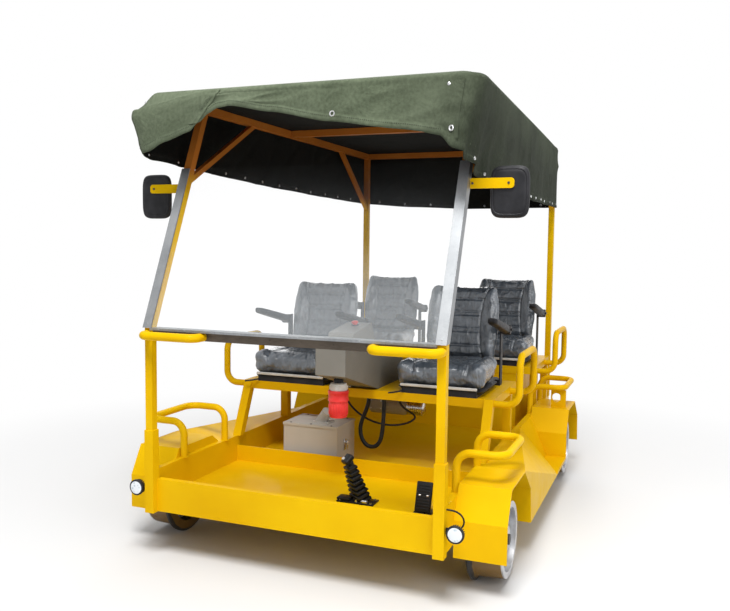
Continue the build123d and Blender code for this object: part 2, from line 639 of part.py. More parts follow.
def lifting_hoop(axle_shift):
    """Outward loop whose two legs stand on the side wall."""
    front = LIFT_FRONT + axle_shift
    rear = front + LIFT_LENGTH
    leg_x = WALL_OUT - HOOP_D / 2 - TOUCH_GAP
    out_x = WALL_OUT + LIFT_REACH
    route = ((leg_x, front, WALL_TOP_Z), (leg_x, front, LIFT_TOP_Z), (out_x, front, LIFT_TOP_Z),
             (out_x, rear, LIFT_TOP_Z), (leg_x, rear, LIFT_TOP_Z), (leg_x, rear, WALL_TOP_Z))
    return bent_tube(route, HOOP_BEND, HOOP_D)


def guard_hoop(platform_front):
    """Upright loop that stands out from the platform's side rail."""
    front = platform_front + GUARD_BEHIND
    rear = front + GUARD_LENGTH
    low = PLATFORM_TOP_Z - PLATFORM_RAIL / 2
    out_x, top = WALL_OUT + GUARD_REACH, PLATFORM_TOP_Z + GUARD_HEIGHT
    route = ((WALL_OUT, front, low), (out_x, front, low), (out_x, front, top),
             (out_x, rear, top), (out_x, rear, low), (WALL_OUT, rear, low))
    return bent_tube(route, HOOP_BEND, HOOP_D)


for row, front in PLATFORMS.items():
    save(f"seat_platform_{row}", [seat_platform(row, front)])
BATTERY_FRONT = PLATFORMS["rear"] + BATTERY_IN
BATTERY_HALF = WALL_IN - BATTERY_GAP
save("battery_box", [block((-BATTERY_HALF, BATTERY_HALF), (BATTERY_FRONT, BATTERY_FRONT + BATTERY_DEPTH),
                           (FLOOR_Z, PLATFORM_TOP_Z - PLATFORM_RAIL))])
save("lifting_hoops", [hoop for shift in (0, WHEELBASE) for hoop in both_sides(lifting_hoop(shift))])
save("guard_hoops", [hoop for front in PLATFORMS.values() for hoop in both_sides(guard_hoop(front))])


# Seats with folding armrests

def seat_frame(front, side):
    """Seat pan with two plates that carry the armrest pivots."""
    def part(x, y, z):
        return block((side * SEAT_X + x[0], side * SEAT_X + x[1]), (front + y[0], front + y[1]),
                     (PLATFORM_TOP_Z + z[0], PLATFORM_TOP_Z + z[1]))

    plate_in = BACK_HALF + TOUCH_GAP
    pan = part((-PAN_HALF, PAN_HALF), (0, PAN_DEPTH), (0, PAN_Z))
    pan += part((-plate_in - PLATE_T, plate_in + PLATE_T), PLATE_Y, (0, PAN_Z))
    for edge in (-plate_in - PLATE_T, plate_in):
        pan += part((edge, edge + PLATE_T), PLATE_Y, (0, PIVOT[1] + PIVOT_R))
    pivot = (front + PIVOT[0], PLATFORM_TOP_Z + PIVOT[1])
    reach = SEAT_HALF * 2
    return pan - rod((side * SEAT_X - reach, *pivot), (side * SEAT_X + reach, *pivot), PIN_D + 2 * TOUCH_GAP)


def seat_cushion(front, side):
    x = side * SEAT_X
    pad = block((x - SEAT_HALF, x + SEAT_HALF), [front + y for y in CUSHION_Y],
                [PLATFORM_TOP_Z + z for z in CUSHION_Z])
    return fillet(pad.edges().filter_by(Axis.Z) + pad.edges().group_by(Axis.Z)[-1], CUSHION_R)


def seat_back(front, side):
    (foot_y, foot_z), (head_y, head_z) = BACK_FOOT, BACK_HEAD
    corners = [(front + y, PLATFORM_TOP_Z + z) for y, z in
               ((foot_y, foot_z), (head_y, head_z), (head_y + BACK_T, head_z), (foot_y + BACK_T, foot_z))]
    x = side * SEAT_X
    pad = side_profile(corners, (x - BACK_HALF, x + BACK_HALF))
    return fillet(pad.edges().group_by(Axis.Z)[-1] + pad.edges().filter_by(GeomType.LINE).group_by(Axis.Z)[2],
                  BACK_R)


def armrest(front, side, edge):
    """Arm pad on a pivot pin; edge is -1 or 1 for the seat's left or right side."""
    inner = BACK_HALF + PLATE_T + 2 * TOUCH_GAP
    near = side * SEAT_X + edge * inner
    far = near + edge * ARM_W
    y, z = front + PIVOT[0], PLATFORM_TOP_Z + PIVOT[1]
    half = ARM_T / 2
    corners = ((y, z + half), (y, z - half), (y - ARM_LENGTH, z - half / 2 + ARM_TIP_RISE),
               (y - ARM_LENGTH, z + half + ARM_TIP_RISE))
    pad = side_profile(corners, sorted((near, far)))
    pad += rod((near, y, z), (far, y, z), 2 * PIVOT_R)
    pin_end = near - edge * (PLATE_T + TOUCH_GAP)
    return pad + rod((pin_end, y, z), (near, y, z), PIN_D)


SIDES = {"left": -1, "right": 1}
ARM_EDGES = {"outer": 1, "inner": -1}
for row, front in PLATFORMS.items():
    save(f"seat_frames_{row}", [seat_frame(front, side) for side in SIDES.values()])
    save(f"seat_cushions_{row}", [seat_cushion(front, side) for side in SIDES.values()])
    save(f"seat_backs_{row}", [seat_back(front, side) for side in SIDES.values()])
    for name, side in SIDES.items():
        for place, edge in ARM_EDGES.items():
            save(f"armrest_{row}_{name}_{place}", [armrest(front, side, side * edge)])


# Console, controller box, connector and motor

def console_floor_z(distance):
    """Height of the console's sloping underside."""
    tail = PLATFORMS["front"] + PLATFORM_RAIL
    share = (distance - CONSOLE_FRONT) / (tail - CONSOLE_FRONT)
    return CONSOLE_NOSE_Z[0] + share * (PLATFORM_TOP_Z - CONSOLE_NOSE_Z[0])


def console():
    tail = PLATFORMS["front"] + PLATFORM_RAIL
    corners = ((CONSOLE_FRONT, CONSOLE_NOSE_Z[0]), (CONSOLE_FRONT, CONSOLE_NOSE_Z[1]),
               (CONSOLE_REAR, CONSOLE_TAIL_Z), (CONSOLE_REAR, PLATFORM_TOP_Z), (tail, PLATFORM_TOP_Z))
    body = side_profile(corners, (-CONSOLE_HALF, CONSOLE_HALF))
    return body + side_profile(PANEL, (-PANEL_HALF, PANEL_HALF))


def emergency_stop():
    """Mushroom button on the console's raised panel."""
    (y0, z0), (y1, z1) = PANEL[1], PANEL[2]
    along = (y1 - y0) / 2 + STOP_SHIFT
    foot = Vector(0, behind(y0 + along), z0 + (z1 - z0) * along / (y1 - y0))
    up = Vector(0, z0 - z1, y1 - y0).normalized()
    base = extrude(Plane(origin=foot, z_dir=up) * Circle(STOP_D * 0.36), STOP_D * 0.35)
    head = extrude(Plane(origin=foot + up * STOP_D * 0.35, z_dir=up) * Circle(STOP_D / 2), STOP_D * 0.3)
    return base + head


def controller_box():
    body = block(BOX_X, BOX_Y, (FLOOR_Z, BOX_TOP_Z - BOX_LID))
    return body + block((BOX_X[0] - BOX_RIM, BOX_X[1] + BOX_RIM), (BOX_Y[0] - BOX_RIM, BOX_Y[1] + BOX_RIM),
                        (BOX_TOP_Z - BOX_LID, BOX_TOP_Z))


def plug_base():
    """Angled socket on the controller box's lid."""
    x, y = BOX_X[1] - SOCKET_BASE_AT[0], BOX_Y[0] + SOCKET_BASE_AT[1]
    half, deep, tall = SOCKET_BASE
    foot = block((x - half, x + half), (y - deep, y + deep), (BOX_TOP_Z, BOX_TOP_Z + tall))
    start, end = [(x + dx, y + dy, BOX_TOP_Z + dz) for dx, dy, dz in SOCKET_NECK]
    below = block((x - SOCKET_NECK_D, x + SOCKET_NECK_D), (y - SOCKET_NECK_D, y + SOCKET_NECK_D),
                  (BOX_TOP_Z - SOCKET_NECK_D, BOX_TOP_Z))
    return foot + rod(start, end, SOCKET_NECK_D) - below


def round_z(z, diameter):
    return rod((0, PLUG_BEHIND, z[0]), (0, PLUG_BEHIND, z[1]), diameter)


def charge_plug():
    low, high = PLUG_Z
    shoulder = high - PLUG_COLLAR
    body = round_z((low, shoulder + PLUG_LAP), PLUG_D * 0.9) + round_z((shoulder, high), PLUG_D)
    return fillet(body.edges().group_by(Axis.Z)[0], PLUG_R)


def plug_cap():
    """Grey cap and gland from the plug up to the console's sloping underside."""
    above = console_floor_z(CONSOLE_FRONT) + PLUG_CAP_D
    under_console = ((CONSOLE_FRONT, console_floor_z(CONSOLE_FRONT)), (CONSOLE_FRONT, above),
                     (CONSOLE_REAR, above), (CONSOLE_REAR, console_floor_z(CONSOLE_REAR)))
    cap = round_z((PLUG_Z[1], above), PLUG_CAP_D)
    return cap - side_profile(under_console, (-CONSOLE_HALF, CONSOLE_HALF))


def drive_motor():
    """Motor slung under the front platform, with a terminal box and a finned end."""
    y, z = MOTOR_BEHIND, MOTOR_Z
    x0, x1 = MOTOR_X
    tail = x1 - MOTOR_TAIL
    motor = rod((x0, y, z), (tail, y, z), MOTOR_D) + rod((tail, y, z), (x1, y, z), MOTOR_D * 0.72)
    for i in range(FIN_COUNT):
        x = tail + FIN_FIRST + i * FIN_STEP
        motor += rod((x, y, z), (x + FIN_T, y, z), MOTOR_D * 0.94)
    box_x, box_deep, box_z = TERMINAL_BOX
    motor += block([x0 + x for x in box_x], (y - MOTOR_D / 2 - box_deep, y), [z + height for height in box_z])
    hang_x, hang_half = HANGER
    motor += block([x0 + x for x in hang_x], (y - hang_half, y + hang_half), (z, PLATFORM_TOP_Z - SHEET))
    return motor


save("console", [console()])
save("emergency_stop", [emergency_stop()])
save("controller_box", [controller_box()])
save("plug_base", [plug_base()])
save("charge_plug", [charge_plug()])
save("plug_cap", [plug_cap()])
save("drive_motor", [drive_motor()])


# Lamps, mirrors, lugs and pedals

LAMP_X = HALF_POST + LAMP_OUT
LUG_X = HALF_POST + LUG_REACH


def headlight():
    """Lamp housing on a bracket from the post's outer face."""
    back = LAMP_FACE + LAMP_DEPTH
    stem_d, stem = LAMP_STEM
    thick, tall = LAMP_BRACKET
    lamp = rod((LAMP_X, LAMP_FACE + LENS_T, LAMP_Z), (LAMP_X, back, LAMP_Z), LAMP_D)
    lamp += rod((LAMP_X, back, LAMP_Z), (LAMP_X, back + stem, LAMP_Z), stem_d)
    bracket_y = (back - LAMP_BRACKET_SET - thick, back - LAMP_BRACKET_SET)
    return lamp + block((HALF_POST + SOCKET_HALF, LAMP_X), bracket_y, (LAMP_Z - tall / 2, LAMP_Z + tall / 2))


def headlight_lens():
    lens = rod((LAMP_X, LAMP_FACE, LAMP_Z), (LAMP_X, LAMP_FACE + LENS_T, LAMP_Z), LAMP_D - 2 * LENS_RIM)
    return fillet(lens.edges().group_by(Axis.Y)[0], LENS_R)


def mirror_arm():
    """Flat bar from the edge strip's side to the front of the mirror's shell."""
    thick, tall = ARM_BAR
    shell = MIRROR_BEHIND - MIRROR_SIZE[1] / 2
    root = STRIP_X[1] + STRIP_SIDE_T
    bar_end = MIRROR_X + tall / 2
    arm = block((root, bar_end), (shell - thick, shell), (MIRROR_ARM_Z - tall / 2, MIRROR_ARM_Z + tall / 2))
    return fillet(arm.edges().filter_by(Axis.Y).group_by(Axis.X)[-1], tall / 3)


def mirror_head():
    width, thick, tall = MIRROR_SIZE
    middle = (MIRROR_X, behind(MIRROR_BEHIND), MIRROR_Z)
    return Pos(*middle) * fillet(Box(width, thick, tall).edges().filter_by(Axis.Y), MIRROR_CORNER_R)


def lug_plate():
    """Upright plate with a D-shaped hole on each rear hood."""
    y = HOOD_FRONTS[1] + HOOD_CHAMFER + LUG_BEHIND
    half = LUG_W / 2
    through = (y - LUG_T, y + 2 * LUG_T)
    hole_z = HOOD_TOP_Z + LUG_H * 0.55
    plate = block((LUG_X - half, LUG_X + half), (y, y + LUG_T), (HOOD_TOP_Z, HOOD_TOP_Z + LUG_H))
    hole = rod((LUG_X - half / 4, through[0], hole_z), (LUG_X - half / 4, through[1], hole_z), LUG_HOLE_D)
    flat = block((LUG_X + half / 4, LUG_X + half), through, (HOOD_TOP_Z, HOOD_TOP_Z + LUG_H))
    return plate - (hole - flat)


def pedal(place, plate, bars):
    """Base plate on the floor with bars about the pedal's place."""
    x, y = place
    made = block([x + dx for dx in plate[0]], [y + dy for dy in plate[1]], (FLOOR_Z, FLOOR_Z + plate[2]))
    for start, end, size in bars:
        made += bar(*[(x + dx, y + dy, FLOOR_Z + dz) for dx, dy, dz in (start, end)], *size)
    return made


def above_floor(made, place):
    """The pedal without what lies under the floor's top."""
    x, y = place
    return made - block((x - PEDAL_ROOM, x + PEDAL_ROOM), (y - PEDAL_ROOM, y + PEDAL_ROOM), (0, FLOOR_Z))


def brake_pedal():
    """Foot brake: base plate, ribbed lever block and a pad on top."""
    place = (BRAKE_X, BRAKE_BEHIND)
    return above_floor(pedal(place, BRAKE_PLATE, BRAKE_BARS), place)


def accelerator_pedal():
    """Accelerator: base plate, treadle and the stay behind it."""
    place = (THROTTLE_X, THROTTLE_BEHIND)
    stay = [(THROTTLE_BEHIND + y, FLOOR_Z + z) for y, z in THROTTLE_STAY]
    made = pedal(place, THROTTLE_PLATE, THROTTLE_BARS)
    made += side_profile(stay, (THROTTLE_X - THROTTLE_STAY_HALF, THROTTLE_X + THROTTLE_STAY_HALF))
    return above_floor(made, place)


save("headlights", both_sides(headlight()))
save("headlight_lenses", both_sides(headlight_lens()))
save("mirror_arms", both_sides(mirror_arm()))
save("mirror_heads", both_sides(mirror_head()))
save("lug_plates", both_sides(lug_plate()))
save("brake_pedal", [brake_pedal()])
save("accelerator_pedal", [accelerator_pedal()])


# Cables and the glands they hang from

def gland(end, diameter):
    """Collar under the front platform's deck, above a cable's end."""
    x, y, z = end
    return rod((x, y, z), (x, y, PLATFORM_TOP_Z - SHEET), diameter + GLAND_SPARE)


save("cable_glands", [gland(route[end], diameter) for route, diameter in
                      ((POWER_ROUTE, POWER_D), (SIGNAL_ROUTE, SIGNAL_D)) for end in (0, -1)])
cable("power_cable", POWER_ROUTE, POWER_D)
cable("signal_cable", SIGNAL_ROUTE, SIGNAL_D)
cable("lamp_wire", [(HALF_POST + x, y, LAMP_Z + z) for x, y, z in LAMP_WIRE_BENDS], LAMP_WIRE_D)
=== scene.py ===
"""Looks of a four-seat battery rail trolley: paint, canvas, seats, cables and small fittings."""

import json
import logging
import math
from collections.abc import Callable, Iterable, Sequence
from dataclasses import dataclass
from enum import Enum

import bmesh
import bpy
from mathutils import Matrix, Vector, noise
from mathutils.bvhtree import BVHTree


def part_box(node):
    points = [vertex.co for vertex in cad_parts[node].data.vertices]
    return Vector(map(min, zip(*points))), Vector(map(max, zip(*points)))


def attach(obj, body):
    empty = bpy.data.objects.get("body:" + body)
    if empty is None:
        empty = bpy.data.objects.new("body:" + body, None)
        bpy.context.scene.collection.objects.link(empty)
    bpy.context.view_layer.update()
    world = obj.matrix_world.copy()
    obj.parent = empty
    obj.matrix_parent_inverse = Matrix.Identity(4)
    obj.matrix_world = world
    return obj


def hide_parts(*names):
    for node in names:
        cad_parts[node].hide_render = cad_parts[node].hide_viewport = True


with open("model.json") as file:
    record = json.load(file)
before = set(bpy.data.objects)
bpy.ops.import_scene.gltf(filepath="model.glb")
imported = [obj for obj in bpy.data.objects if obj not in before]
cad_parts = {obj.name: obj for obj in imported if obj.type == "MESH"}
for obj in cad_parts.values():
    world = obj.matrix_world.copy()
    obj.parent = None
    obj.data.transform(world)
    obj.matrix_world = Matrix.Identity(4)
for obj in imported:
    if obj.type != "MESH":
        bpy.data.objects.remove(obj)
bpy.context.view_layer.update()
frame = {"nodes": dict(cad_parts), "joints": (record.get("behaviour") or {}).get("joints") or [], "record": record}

LOG = logging.getLogger("trolley")

Point = tuple[float, float, float]
Colour = tuple[float, float, float]
Table = tuple[tuple[float, float], ...]
Stops = Sequence[tuple[float, Colour]]
Spots = list[tuple[Vector, Vector]]
Socket = bpy.types.NodeSocket
Material = bpy.types.Material
Piece = bpy.types.Object

CHASSIS = "chassis"
POSTS_Y = (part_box("front_posts")[0].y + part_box("front_posts")[1].y) / 2
SIDES = {"left": -1, "right": 1}
ROWS = ("front", "rear")
UP = Vector((0, 0, 1))
FORWARD = Vector((0, -1, 0))
REARWARD = Vector((0, 1, 0))
RIGHT = Vector((1, 0, 0))
SHARP_EDGE = math.radians(35)
SHARP_HEAD = math.radians(40)


def behind(distance: float) -> float:
    """Y of a place that lies this far behind the front posts."""
    return POSTS_Y + distance


def middle(node: str) -> Vector:
    """Centre of a node's box."""
    low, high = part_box(node)
    return (low + high) / 2


def blend(low: float, high: float, share: float) -> float:
    """Value between two ends."""
    return low + (high - low) * share


def smooth_step(low: float, high: float, value: float) -> float:
    """Soft step from 0 at low to 1 at high."""
    share = min(max((value - low) / (high - low), 0.0), 1.0)
    return share * share * (3 - 2 * share)


def follow(table: Sequence[tuple[float, float]], place: float) -> float:
    """Soft curve through a short table of (place, value), sorted by place."""
    if place <= table[0][0]:
        return table[0][1]
    for (start, low), (end, high) in zip(table, table[1:]):
        if place <= end:
            straight = (place - start) / (end - start)
            return blend(low, high, (smooth_step(start, end, place) + straight) / 2)
    return table[-1][1]


def circle(radius: float, count: int, z: float = 0.0) -> list[Vector]:
    """Points round the Z axis."""
    angles = [math.tau * k / count for k in range(count)]
    return [Vector((radius * math.cos(angle), radius * math.sin(angle), z)) for angle in angles]


def squarish(centre: Vector, wide: float, tall: float, power: float, count: int) -> list[Vector]:
    """Upright loop between an ellipse and a rectangle.

    Args:
        centre: Middle of the loop.
        wide: Half width along X.
        tall: Half height.
        power: 1 for an ellipse, less for squarer corners.
        count: Number of points.

    Returns:
        The loop's points.
    """
    points = []
    for spot in circle(1.0, count):
        across, rise = (math.copysign(abs(part) ** power, part) for part in spot.xy)
        points.append(centre + Vector((across * wide, 0, rise * tall)))
    return points


def turned_to(axis: Sequence[float]) -> Matrix:
    """Rotation that turns Z to an axis."""
    return Vector(axis).to_track_quat("Z", "Y").to_matrix()


def row_of(start: Sequence[float], end: Sequence[float], gap: float, axis: Vector) -> Spots:
    """Spots at even steps from start to end, at most gap apart, that all face one way."""
    first, last = Vector(start), Vector(end)
    steps = max(1, math.ceil((last - first).length / gap))
    return [(first.lerp(last, k / steps), axis) for k in range(steps + 1)]


def four(corner: Sequence[float], first: Point, second: Point, axis: Vector) -> Spots:
    """Spots at a corner and at the other three that two edges lead to, all facing one way."""
    return [(Vector(corner) + Vector(first) * i + Vector(second) * j, axis) for i in (0, 1) for j in (0, 1)]


def linked(name: str, data: bpy.types.ID) -> Piece:
    """New object in the scene, at the origin."""
    made = bpy.data.objects.new(name, data)
    bpy.context.scene.collection.objects.link(made)
    return made


def seen_rays(tree: bpy.types.NodeTree) -> Socket:
    """1 for rays from the camera, off gloss or through glass, else 0."""
    paths = tree.nodes.new("ShaderNodeLightPath")
    seen = paths.outputs["Is Camera Ray"]
    for kind in ("Glossy", "Transmission"):
        larger = tree.nodes.new("ShaderNodeMath")
        larger.operation = "MAXIMUM"
        tree.links.new(seen, larger.inputs[0])
        tree.links.new(paths.outputs[f"Is {kind} Ray"], larger.inputs[1])
        seen = larger.outputs[0]
    return seen


class ShaderGraph:
    """Builder for one material's nodes, on Object coordinates unless told otherwise."""

    def __init__(self, name: str) -> None:
        """Make an empty material with its principled shader."""
        self.material = bpy.data.materials.new(name)
        self.material.use_nodes = True
        self.nodes = self.material.node_tree.nodes
        self.links = self.material.node_tree.links
        self.shader = self.nodes["Principled BSDF"]
        coordinates = self.nodes.new("ShaderNodeTexCoord")
        self.place = coordinates.outputs["Object"]
        self.uv = coordinates.outputs["UV"]

    def set(self, **values: object) -> None:
        """Set shader sockets by name, with underscores for spaces."""
        for name, value in values.items():
            self.shader.inputs[name.replace("_", " ")].default_value = value

    def node(self, kind: str, **inputs: object) -> bpy.types.Node:
        """New node, with a link or a plain value on each named input."""
        made = self.nodes.new(kind)
        for name, value in inputs.items():
            socket = made.inputs[name.replace("_", " ")]
            if isinstance(value, Socket):
                self.links.new(value, socket)
            else:
                socket.default_value = value
        return made

    def feed(self, output: Socket, socket: str) -> None:
        """Link an output to a named shader socket."""
        self.links.new(output, self.shader.inputs[socket])

    def mapped(self, source: Socket, scale: Point = (1, 1, 1),
               shift: Point = (0, 0, 0)) -> Socket:
        """Coordinates after a Mapping node.

        Args:
            source: Coordinates to change.
            scale: Factor on each axis.
            shift: Offset added on each axis.

        Returns:
            The mapped vector output.
        """
        return self.node("ShaderNodeMapping", Vector=source, Scale=scale, Location=shift).outputs[0]

    def noise(self, scale: float, detail: float = 3.0, vector: Socket | None = None,
              twist: float = 0.0) -> Socket:
        """Noise between about 0.3 and 0.7.

        Args:
            scale: Features per metre.
            detail: Octaves.
            vector: Coordinates, or Object coordinates if left out.
            twist: Distortion.

        Returns:
            The noise's value output.
        """
        return self.node("ShaderNodeTexNoise", Scale=scale, Detail=detail, Distortion=twist,
                         Vector=vector or self.place).outputs[0]

    def waves(self, scale: float, axis: str, vector: Socket, wobble: float) -> Socket:
        """Fine bands across one axis.

        Args:
            scale: Bands per metre, roughly.
            axis: "X", "Y" or "Z".
            vector: Coordinates.
            wobble: Distortion.

        Returns:
            The band height output.
        """
        node = self.node("ShaderNodeTexWave", Scale=scale, Distortion=wobble, Vector=vector)
        node.bands_direction = axis
        return node.outputs["Fac"]

    def sum(self, first: Socket, second: Socket | float,
            operation: str = "ADD") -> Socket:
        """Result of a Math node on two values."""
        node = self.nodes.new("ShaderNodeMath")
        node.operation = operation
        self.links.new(first, node.inputs[0])
        if isinstance(second, (int, float)):
            node.inputs[1].default_value = second
        else:
            self.links.new(second, node.inputs[1])
        return node.outputs[0]

    def weighed(self, first: Socket, share: float, second: Socket) -> Socket:
        """Sum of two values, the first by its share and the second by the rest."""
        return self.sum(self.sum(first, share, "MULTIPLY"), self.sum(second, 1 - share, "MULTIPLY"))

    def ramp(self, value: Socket, stops: Stops, hard: bool = False) -> Socket:
        """Colour ramp.

        Args:
            value: What drives the ramp.
            stops: Positions with their colours.
            hard: Steps with no fade between the stops.

        Returns:
            The colour output.
        """
        node = self.node("ShaderNodeValToRGB", Fac=value)
        ramp = node.color_ramp
        ramp.interpolation = "CONSTANT" if hard else "LINEAR"
        while len(ramp.elements) < len(stops):
            ramp.elements.new(0.5)
        for element, (position, colour) in zip(ramp.elements, stops):
            element.position = position
            element.color = (*colour, 1)
        return node.outputs["Color"]

    def grey(self, value: Socket, low: float, high: float, start: float = 0.3,
             end: float = 0.7) -> Socket:
        """Grey ramp from low to high, for roughness and the like."""
        return self.ramp(value, ((start, (low,) * 3), (end, (high,) * 3)))

    def mix(self, share: Socket, first: Socket,
            second: Socket) -> Socket:
        """Mix two colours by a share."""
        node = self.nodes.new("ShaderNodeMix")
        node.data_type = "RGBA"
        self.links.new(share, node.inputs[0])
        self.links.new(first, node.inputs[6])
        self.links.new(second, node.inputs[7])
        return node.outputs[2]

    def bump(self, height: Socket, strength: float, depth: float,
             under: Socket | None = None) -> Socket:
        """Bump normal, on top of another one if given.

        Args:
            height: Height map.
            strength: Share of the effect.
            depth: Real height of the map's full range, in metres.
            under: Normal to start from.

        Returns:
            The normal output.
        """
        node = self.node("ShaderNodeBump", Strength=strength, Distance=depth, Height=height)
        if under is not None:
            self.links.new(under, node.inputs["Normal"])
        return node.outputs[0]

    def axis(self, vector: Socket, name: str) -> Socket:
        """One component of a vector."""
        return self.node("ShaderNodeSeparateXYZ", Vector=vector).outputs[name]


@dataclass(frozen=True)
class Enamel:
    """Sprayed paint over sheet and tube, with orange peel and slow colour drift."""

    name: str
    dark: Colour
    light: Colour
    roughness: tuple[float, float] = (0.28, 0.42)
    coat: float = 0.02
    peel: float = 0.12
    # Painted shade higher up: its darker tones, and the heights over which it fades in.
    upper: tuple[Colour, Colour] | None = None
    upper_z: tuple[float, float] = (1.84, 1.97)

    def material(self) -> Material:
        """Build the paint's material, with painted shade higher up where there is one."""
        graph = ShaderGraph(self.name)
        drift = graph.noise(1.7, 4.0)
        colour = graph.ramp(drift, ((0.36, self.dark), (0.64, self.light)))
        # Painted shade: higher up the paint turns brown-orange, for the shade under the canopy.
        if self.upper:
            start, end = self.upper_z
            height = graph.axis(graph.place, "Z")
            fade = graph.node("ShaderNodeMapRange", Value=height, From_Min=start, From_Max=end)
            above = graph.ramp(drift, ((0.36, self.upper[0]), (0.64, self.upper[1])))
            colour = graph.mix(fade.outputs[0], colour, above)
        graph.feed(colour, "Base Color")
        graph.feed(graph.grey(graph.noise(9.0, 5.0), *self.roughness), "Roughness")
        soft = graph.bump(graph.noise(5.0, 2.0), 0.25, 0.004)
        graph.feed(graph.bump(graph.noise(330.0, 2.0), self.peel, 0.0008, soft), "Normal")
        graph.set(Coat_Weight=self.coat, Coat_Roughness=0.12, Specular_IOR_Level=0.03)
        return graph.material


@dataclass(frozen=True)
class BrushedMetal:
    """Bare metal with fine scratches along one axis."""

    name: str
    dark: Colour
    light: Colour
    grain: Point
    roughness: tuple[float, float] = (0.25, 0.45)
    metallic: float = 1.0

    def material(self) -> Material:
        """Build the metal's material."""
        graph = ShaderGraph(self.name)
        streaks = graph.noise(60.0, 4.0, graph.mapped(graph.place, self.grain))
        patches = graph.noise(6.0, 4.0)
        tone = graph.weighed(streaks, 0.6, patches)
        graph.feed(graph.ramp(tone, ((0.38, self.dark), (0.62, self.light))), "Base Color")
        graph.feed(graph.grey(streaks, *self.roughness), "Roughness")
        graph.feed(graph.bump(streaks, 0.12, 0.0006), "Normal")
        graph.set(Metallic=self.metallic)
        return graph.material


@dataclass(frozen=True)
class WheelSteel:
    """Rail wheel: turned steel outside, dull orange primer and dark webs on the flange side, and painted shade at
    the rim's inner lip.
    """

    name: str
    node: str
    face_x: float = 0.966
    dish_x: float = 0.86
    dish_radius: float = 0.153
    steel_dark: Colour = (0.47, 0.47, 0.48)
    steel_light: Colour = (0.58, 0.59, 0.61)
    primer: Colour = (0.16, 0.085, 0.012)
    web: Colour = (0.055, 0.05, 0.045)
    # Near-black: painted shade at the rim's inner lip, and the ring on the flange tip.
    edge: Colour = (0.018, 0.016, 0.015)

    def material(self) -> Material:
        """Build the wheel's material around its own axle."""
        graph = ShaderGraph(self.name)
        centre = middle(self.node)
        local = graph.mapped(graph.place, shift=(0, -centre.y, -centre.z))
        high = graph.axis(local, "Z")
        along = graph.axis(local, "Y")
        squares = graph.sum(graph.sum(high, 2.0, "POWER"), graph.sum(along, 2.0, "POWER"))
        radius = graph.sum(squares, 0.5, "POWER")
        reach = graph.sum(graph.axis(local, "X"), 2.0, "POWER")
        face = graph.sum(reach, self.face_x ** 2, "GREATER_THAN")
        dish = graph.sum(graph.sum(reach, self.dish_x ** 2, "GREATER_THAN"),
                         graph.sum(radius, self.dish_radius, "LESS_THAN"), "MULTIPLY")
        outside = graph.sum(face, dish, "MAXIMUM")
        rings = graph.sum(graph.sum(graph.sum(radius, 2600.0, "MULTIPLY"), 0.0, "SINE"), 0.5, "MULTIPLY")
        smear = graph.noise(30.0, 5.0)
        tone = graph.sum(graph.sum(rings, 0.12, "MULTIPLY"), smear)
        steel = graph.ramp(tone, ((0.34, self.steel_dark), (0.62, self.steel_light)))
        # Hard rings by radius: web, near-black painted shade at the rim's inner lip, primer, and a near-black ring
        # on the flange tip.
        bands = ((0.0, self.web), (0.142, self.edge), (0.156, self.primer), (0.197, self.edge))
        painted = graph.ramp(graph.sum(radius, graph.sum(smear, 0.012, "MULTIPLY")), bands, hard=True)
        graph.feed(graph.mix(outside, painted, steel), "Base Color")
        graph.feed(graph.sum(outside, 0.92, "MULTIPLY"), "Metallic")
        graph.feed(graph.grey(smear, 0.3, 0.55), "Roughness")
        graph.feed(graph.bump(rings, 0.1, 0.0006), "Normal")
        return graph.material


@dataclass(frozen=True)
class Canvas:
    """Woven cotton canvas on the sheet's own UV, in metres, with painted shade darkening its right side."""

    name: str
    dark: Colour
    light: Colour
    sheen: float = 0.0
    threads: float = 150.0
    # Painted shade: share of the colour left on the shaded right side, and where across the sheet it comes in.
    shade_factor: float = 0.27
    shade_from: float = 0.40
    shade_at: float = 1.05

    def material(self) -> Material:
        """Build the canvas material."""
        graph = ShaderGraph(self.name)
        fade = graph.noise(2.3, 6.0, graph.uv, 0.8)
        mottle = graph.noise(64.0, 4.0, graph.uv)
        tone = graph.weighed(fade, 0.62, mottle)
        unshaded = graph.ramp(tone, ((0.30, self.dark), (0.70, self.light)))
        # Painted shade: the colour darkens across the right side of the canopy, where less light falls.
        less = [tuple(part * self.shade_factor for part in colour) for colour in (self.dark, self.light)]
        shaded = graph.ramp(tone, ((0.30, less[0]), (0.70, less[1])))
        across = graph.sum(graph.axis(graph.uv, "X"), 0.5, "MULTIPLY")
        aside = graph.grey(across, 0.0, 1.0, self.shade_from / 2, self.shade_at / 2)
        graph.feed(graph.mix(aside, unshaded, shaded), "Base Color")
        warp = graph.waves(self.threads, "X", graph.uv, 0.6)
        weft = graph.waves(self.threads, "Y", graph.uv, 0.6)
        creases = graph.bump(graph.noise(5.0, 4.0, graph.uv, 1.6), 0.8, 0.02)
        graph.feed(graph.bump(graph.sum(warp, weft), 0.35, 0.0012, creases), "Normal")
        graph.set(Roughness=0.92, Sheen_Weight=self.sheen, Sheen_Roughness=0.6, Specular_IOR_Level=0.1)
        return graph.material


